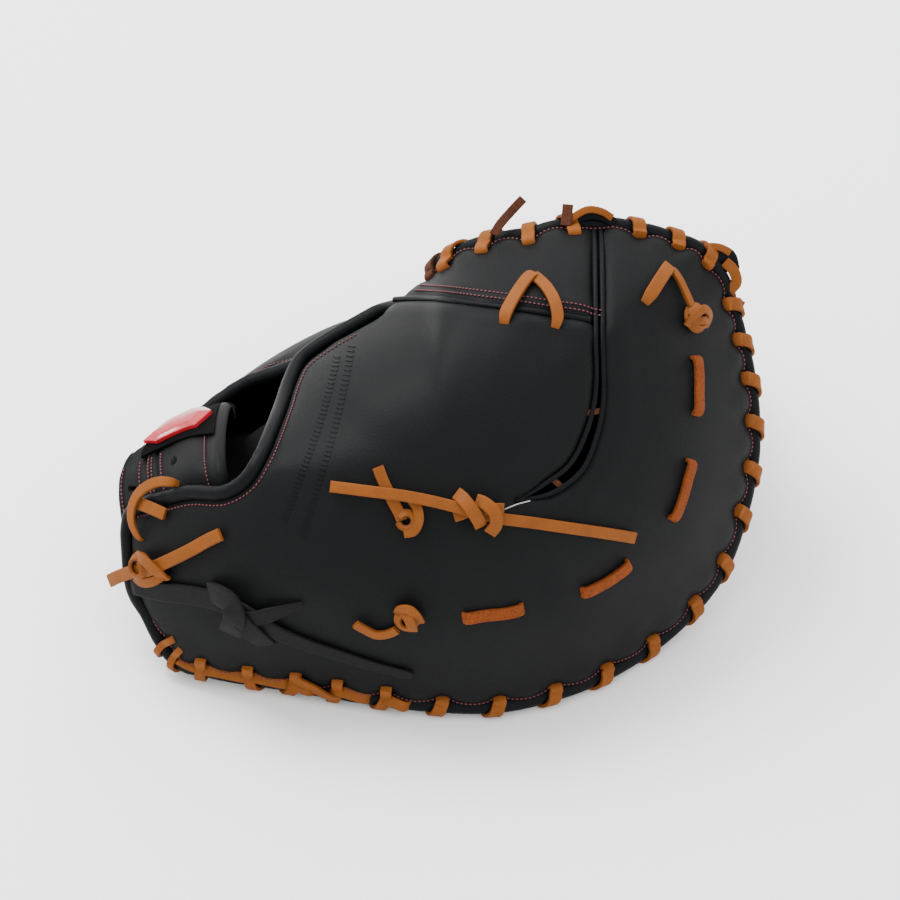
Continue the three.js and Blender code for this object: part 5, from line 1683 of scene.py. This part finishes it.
TIE_BAND = [
    (129, 583, -1.2), (136, 584, 1.2), (150, 587, 1.5), (168, 590, 1.8), (188, 592, 1.7), (208, 595, 1.9),
    (226, 599, 2.6), (244, 605, 4.0), (258, 612, 4.4),
]
TIE_TAIL = [
    (250, 608, 4.2), (268, 620, 3.4), (286, 631, 2.2), (310, 641, 1.8), (340, 651, 1.6), (375, 662, 1.6),
    (414, 672, 1.5),
]
TIE_FOLD = [
    (214, 590, 2.0), (226, 590, 5.0), (240, 596, 7.6), (243, 608, 7.4), (238, 619, 5.4), (233, 629, 1.6),
]
TIE_UNDER = [(232, 606, 3.6), (246, 612, 6.4), (258, 624, 5.8), (268, 640, 1.6)]
TIE_END = [(244, 612, 3.0), (258, 610, 5.6), (276, 606, 4.6), (292, 603, 2.8), (304, 601, 1.4)]


class MITT_OT_tie(MittOperator):
    """Black tie of the heel: a wide soft lace with a folded knot"""

    bl_idname = "mitt.tie"
    bl_label = "Black tie"

    def execute(self, context):
        wide = size("tie")
        tail = ([0, 0.25, 0.8, 0.96, 0.99, 1], [0.85, 0.85, 0.6, 0.52, 0.4, 0.12])
        bm = bmesh.new()
        ribbon(bm, *back_path(TIE_BAND), wide=wide, thick=1.8)
        ribbon(bm, *back_path(TIE_TAIL), wide=wide, thick=2.2, taper=tail)
        ribbon(bm, *back_path(TIE_END), wide=wide, thick=1.8, step=0.9, taper=([0, 0.5, 1], [0.8, 0.8, 0.3]))
        ribbon(bm, *back_path(TIE_UNDER), wide=wide, thick=1.8, step=0.9)
        ribbon(bm, *back_path(TIE_FOLD), wide=wide * 1.15, thick=1.8, step=0.9)
        finish_piece("tie_band", bm, look("tie_leather"), ["black_tie"])
        return {"FINISHED"}


# Ends that stand up over the top rim: along, across and depth out of the sketch
TOP_END_HEEL = [(494, 235, -15.5), (499, 226, -16.5), (510, 213, -19), (523, 199, -21)]
TOP_END_TIP = [(566, 226, -15), (567, 216, -16), (568, 205, -17)]
TOP_ARC = [(568, 222, -17), (574, 217, -16.5), (588, 210, -16), (602, 212, -16.5), (612, 218, -18)]
TOP_ROLL = [(570, 224, -21), (580, 218, -20.5), (592, 215, -20), (604, 217, -20.5), (614, 223, -21)]
CORNER_ROLL = [(706, 254, -36), (718, 252, -36.5), (729, 256, -38), (733, 268, -40.5)]
CORNER_THIN = [(702, 249, -31), (711, 246, -32), (722, 247, -33), (731, 252, -35)]
CORNER_TWIST = [
    (726, 261, -35), (735, 270, -36), (738, 282, -37), (731, 291, -37), (733, 299, -38.5), (744, 306, -41),
]


class MITT_OT_top_ends(MittOperator):
    """Lace ends and the arc over the top rim, and the rolled end at the corner"""

    bl_idname = "mitt.top_ends"
    bl_label = "Top ends"

    def execute(self, context):
        def standing(rows):
            rows = np.array(rows, float)
            places = sketch(rows[:, :2])
            at = FINGER_PLANE.place(places[:, 0], places[:, 1], rows[:, 2])
            return at, np.repeat(FINGER_PLANE.axes[2][None], len(at), axis=0)

        dark, tan = look("dark_lace"), look("tan_lace")
        for name, rows, node, material, wide in (
            ("top_end_heel", TOP_END_HEEL, ["top_lace_end_heel"], dark, 4.0),
            ("top_end_tip", TOP_END_TIP, ["top_lace_end_tip"], dark, 4.7),
            ("top_arc_lacing", TOP_ARC, [], tan, 3.2),
            ("corner_thin_lacing", CORNER_THIN, [], tan, 3.2),
            ("corner_twist_lacing", CORNER_TWIST, [], tan, 4.8),
        ):
            bm = bmesh.new()
            at, out = standing(rows)
            ribbon(bm, at, out, wide)
            finish_piece(name, bm, material, node)
        for name, rows, wide in (("top_end_roll", TOP_ROLL, 4.6), ("corner_end_roll", CORNER_ROLL, 7.5)):
            bm = bmesh.new()
            at, out = standing(rows)
            ribbon(bm, at, out, wide=wide, thick=4.6)
            finish_piece(name, bm, look("edge_leather"))
        return {"FINISHED"}


# Bits of lace that show across the slit, given the darker lace colour as painted shade inside it, and a loose
# end of thread at its end
SLIT_BITS = [
    [(587, 413, -2.4), (594, 412, -1.6), (600, 411, -2.4)],
    [(552, 479, -2.4), (557, 483, -1.6), (562, 487, -2.4)],
]
LOOSE_THREAD = [(503, 509, 0.2), (509, 506, 1.1), (517, 503, 0.8), (524, 501, 1.2), (529, 500, 0.2)]


class MITT_OT_slit_bits(MittOperator):
    """Lace that shows inside the slit, darker as painted shade, and a loose end of thread"""

    bl_idname = "mitt.slit_bits"
    bl_label = "Slit bits"

    def execute(self, context):
        bm = bmesh.new()
        for rows in SLIT_BITS:
            ribbon(bm, *back_path(rows), wide=2.6, thick=1.2, step=0.6)
        # Painted shade: the lace inside the slit is given the darker lace colour.
        finish_piece("slit_lacing", bm, look("dark_lace"))
        bm = bmesh.new()
        at, out = back_path(LOOSE_THREAD)
        ribbon(bm, at, out, wide=0.45, thick=0.4, step=0.5)
        finish_piece("loose_thread", bm, look("pale_thread"))
        return {"FINISHED"}


# Where the two columns of tooled bars start and end, how much they bow, and half a bar's length in mm
TOOLED_TOP = [(345, 322), (357, 318)]
TOOLED_LOW = [(286, 520), (304, 534)]
TOOLED_BOW = 6
TOOLED_HALF = 1.3
TOOLED_COUNT = 46


class MITT_OT_tooling(MittOperator):
    """Two columns of plain tooled bars beside the hand hole"""

    bl_idname = "mitt.tooling"
    bl_label = "Tooled bars"

    def execute(self, context):
        bm = bmesh.new()
        outline = finger_outline()
        for top, low in zip(TOOLED_TOP, TOOLED_LOW):
            bow = [top, (mix(top[0], low[0], 0.5) + TOOLED_BOW, mix(top[1], low[1], 0.5)), low]
            line = evenly(sketch(bow), TOOLED_COUNT)
            along = beside(line, 1.0) - line
            clear = signed_distance(outline, line[:, 0], line[:, 1]) < -5.5
            for place, way in zip(line[clear], along[clear]):
                ends = np.array([place - way * TOOLED_HALF, place, place + way * TOOLED_HALF])
                at, out = on_back(FINGER, ends, finger_relief(ends[:, 0], ends[:, 1]) + 0.02)
                swept(bm, at, out, flat_section(0.9, 0.5, 8))
        finish_piece("tooled_bars", bm, look("edge_leather"))
        return {"FINISHED"}


# Stage, in metres: half the floor's side, the lamps by name, place, width and share of the key lamp's power,
# the place that they aim at and the camera's distance. AIR_LIGHT is the strength of the light all round.
# The picture is FRAME_COUNT of the sketch's counts wide, round FRAME_MIDDLE at FRAME_DEPTH mm from its plane
FLOOR_SIZE = 4.0
AIR_LIGHT = 1.85
LAMPS = (
    ("key_lamp", (-0.6, 0.5, 1.2), 0.8, 1),
    ("fill_lamp", (1.2, -0.9, 0.8), 1.2, 0.15),
    ("back_lamp", (0.5, 1.2, 1.3), 1.0, 0.4),
)
LAMP_AIM = (0, 0, 0.06)
CAMERA_FAR = 4.0
FRAME_COUNT = 900
FRAME_WIDE = FRAME_COUNT * GRID_ALONG * MM
FRAME_MIDDLE = (450, 450)
FRAME_DEPTH = -15.0


class MITT_OT_stage(MittOperator):
    """Pale floor, soft lamps and the camera at the photograph's angle"""

    bl_idname = "mitt.stage"
    bl_label = "Stage"

    def execute(self, context):
        bm = bmesh.new()
        bmesh.ops.create_grid(bm, x_segments=1, y_segments=1, size=FLOOR_SIZE)
        mesh = bpy.data.meshes.new("studio_floor")
        bm.to_mesh(mesh)
        bm.free()
        floor = bpy.data.objects.new("studio_floor", mesh)
        context.scene.collection.objects.link(floor)
        wires = Wires("studio_floor")
        mesh.materials.append(wires.finish(colour("floor"), 0.8))

        world = bpy.data.worlds.new("studio_air")
        world.use_nodes = True
        air = world.node_tree.nodes["Background"]
        air.inputs["Color"].default_value = (1, 1, 1, 1)
        air.inputs["Strength"].default_value = AIR_LIGHT
        context.scene.world = world

        for name, place, width, share in LAMPS:
            lamp = bpy.data.lights.new(name, "AREA")
            lamp.size, lamp.energy = width, context.scene.mitt_sizes.key * share
            thing = bpy.data.objects.new(name, lamp)
            thing.location = place
            thing.rotation_euler = (Vector(LAMP_AIM) - Vector(place)).to_track_quat("-Z", "Y").to_euler()
            context.scene.collection.objects.link(thing)

        middle = sketch(FRAME_MIDDLE)
        aim = Vector(to_frame(FINGER_PLANE.place(middle[0], middle[1], FRAME_DEPTH)))
        back = Vector(FINGER_PLANE.axes[2])
        lens = bpy.data.cameras.new("camera")
        lens.sensor_width = 36
        lens.lens = lens.sensor_width * CAMERA_FAR / FRAME_WIDE
        lens.clip_end = 50
        camera = bpy.data.objects.new("camera", lens)
        camera.location = aim + back * CAMERA_FAR
        camera.rotation_euler = (-back).to_track_quat("-Z", "Y").to_euler()
        context.scene.collection.objects.link(camera)
        context.scene.camera = camera
        return {"FINISHED"}


STEPS = (
    MITT_OT_stage, MITT_OT_finger_back, MITT_OT_thumb_back, MITT_OT_palm, MITT_OT_web,
    MITT_OT_rolled_edges, MITT_OT_strap, MITT_OT_badge, MITT_OT_stitching, MITT_OT_rim_laces,
    MITT_OT_heel_lacing, MITT_OT_back_laces, MITT_OT_heel_laces, MITT_OT_tie, MITT_OT_top_ends,
    MITT_OT_slit_bits, MITT_OT_tooling,
)


class MITT_PT_panel(bpy.types.Panel):
    """Sizes, colours and pieces of the mitt"""

    bl_idname = "MITT_PT_panel"
    bl_label = "First baseman mitt"
    bl_space_type = "VIEW_3D"
    bl_region_type = "UI"
    bl_category = "Mitt"

    def draw(self, context):
        layout = self.layout
        for group in (context.scene.mitt_sizes, context.scene.mitt_colours):
            box = layout.box()
            for name in group.__annotations__:
                box.prop(group, name)
        for step in STEPS:
            layout.operator(step.bl_idname)


CLASSES = (MittSizes, MittColours, *STEPS, MITT_PT_panel)


def register():
    for cls in CLASSES:
        bpy.utils.register_class(cls)
    bpy.types.Scene.mitt_sizes = bpy.props.PointerProperty(type=MittSizes)
    bpy.types.Scene.mitt_colours = bpy.props.PointerProperty(type=MittColours)


def unregister():
    del bpy.types.Scene.mitt_colours
    del bpy.types.Scene.mitt_sizes
    for cls in reversed(CLASSES):
        bpy.utils.unregister_class(cls)


def main():
    register()
    for step in STEPS:
        group, name = step.bl_idname.split(".")
        getattr(getattr(bpy.ops, group), name)()


if __name__ == "__main__":
    main()
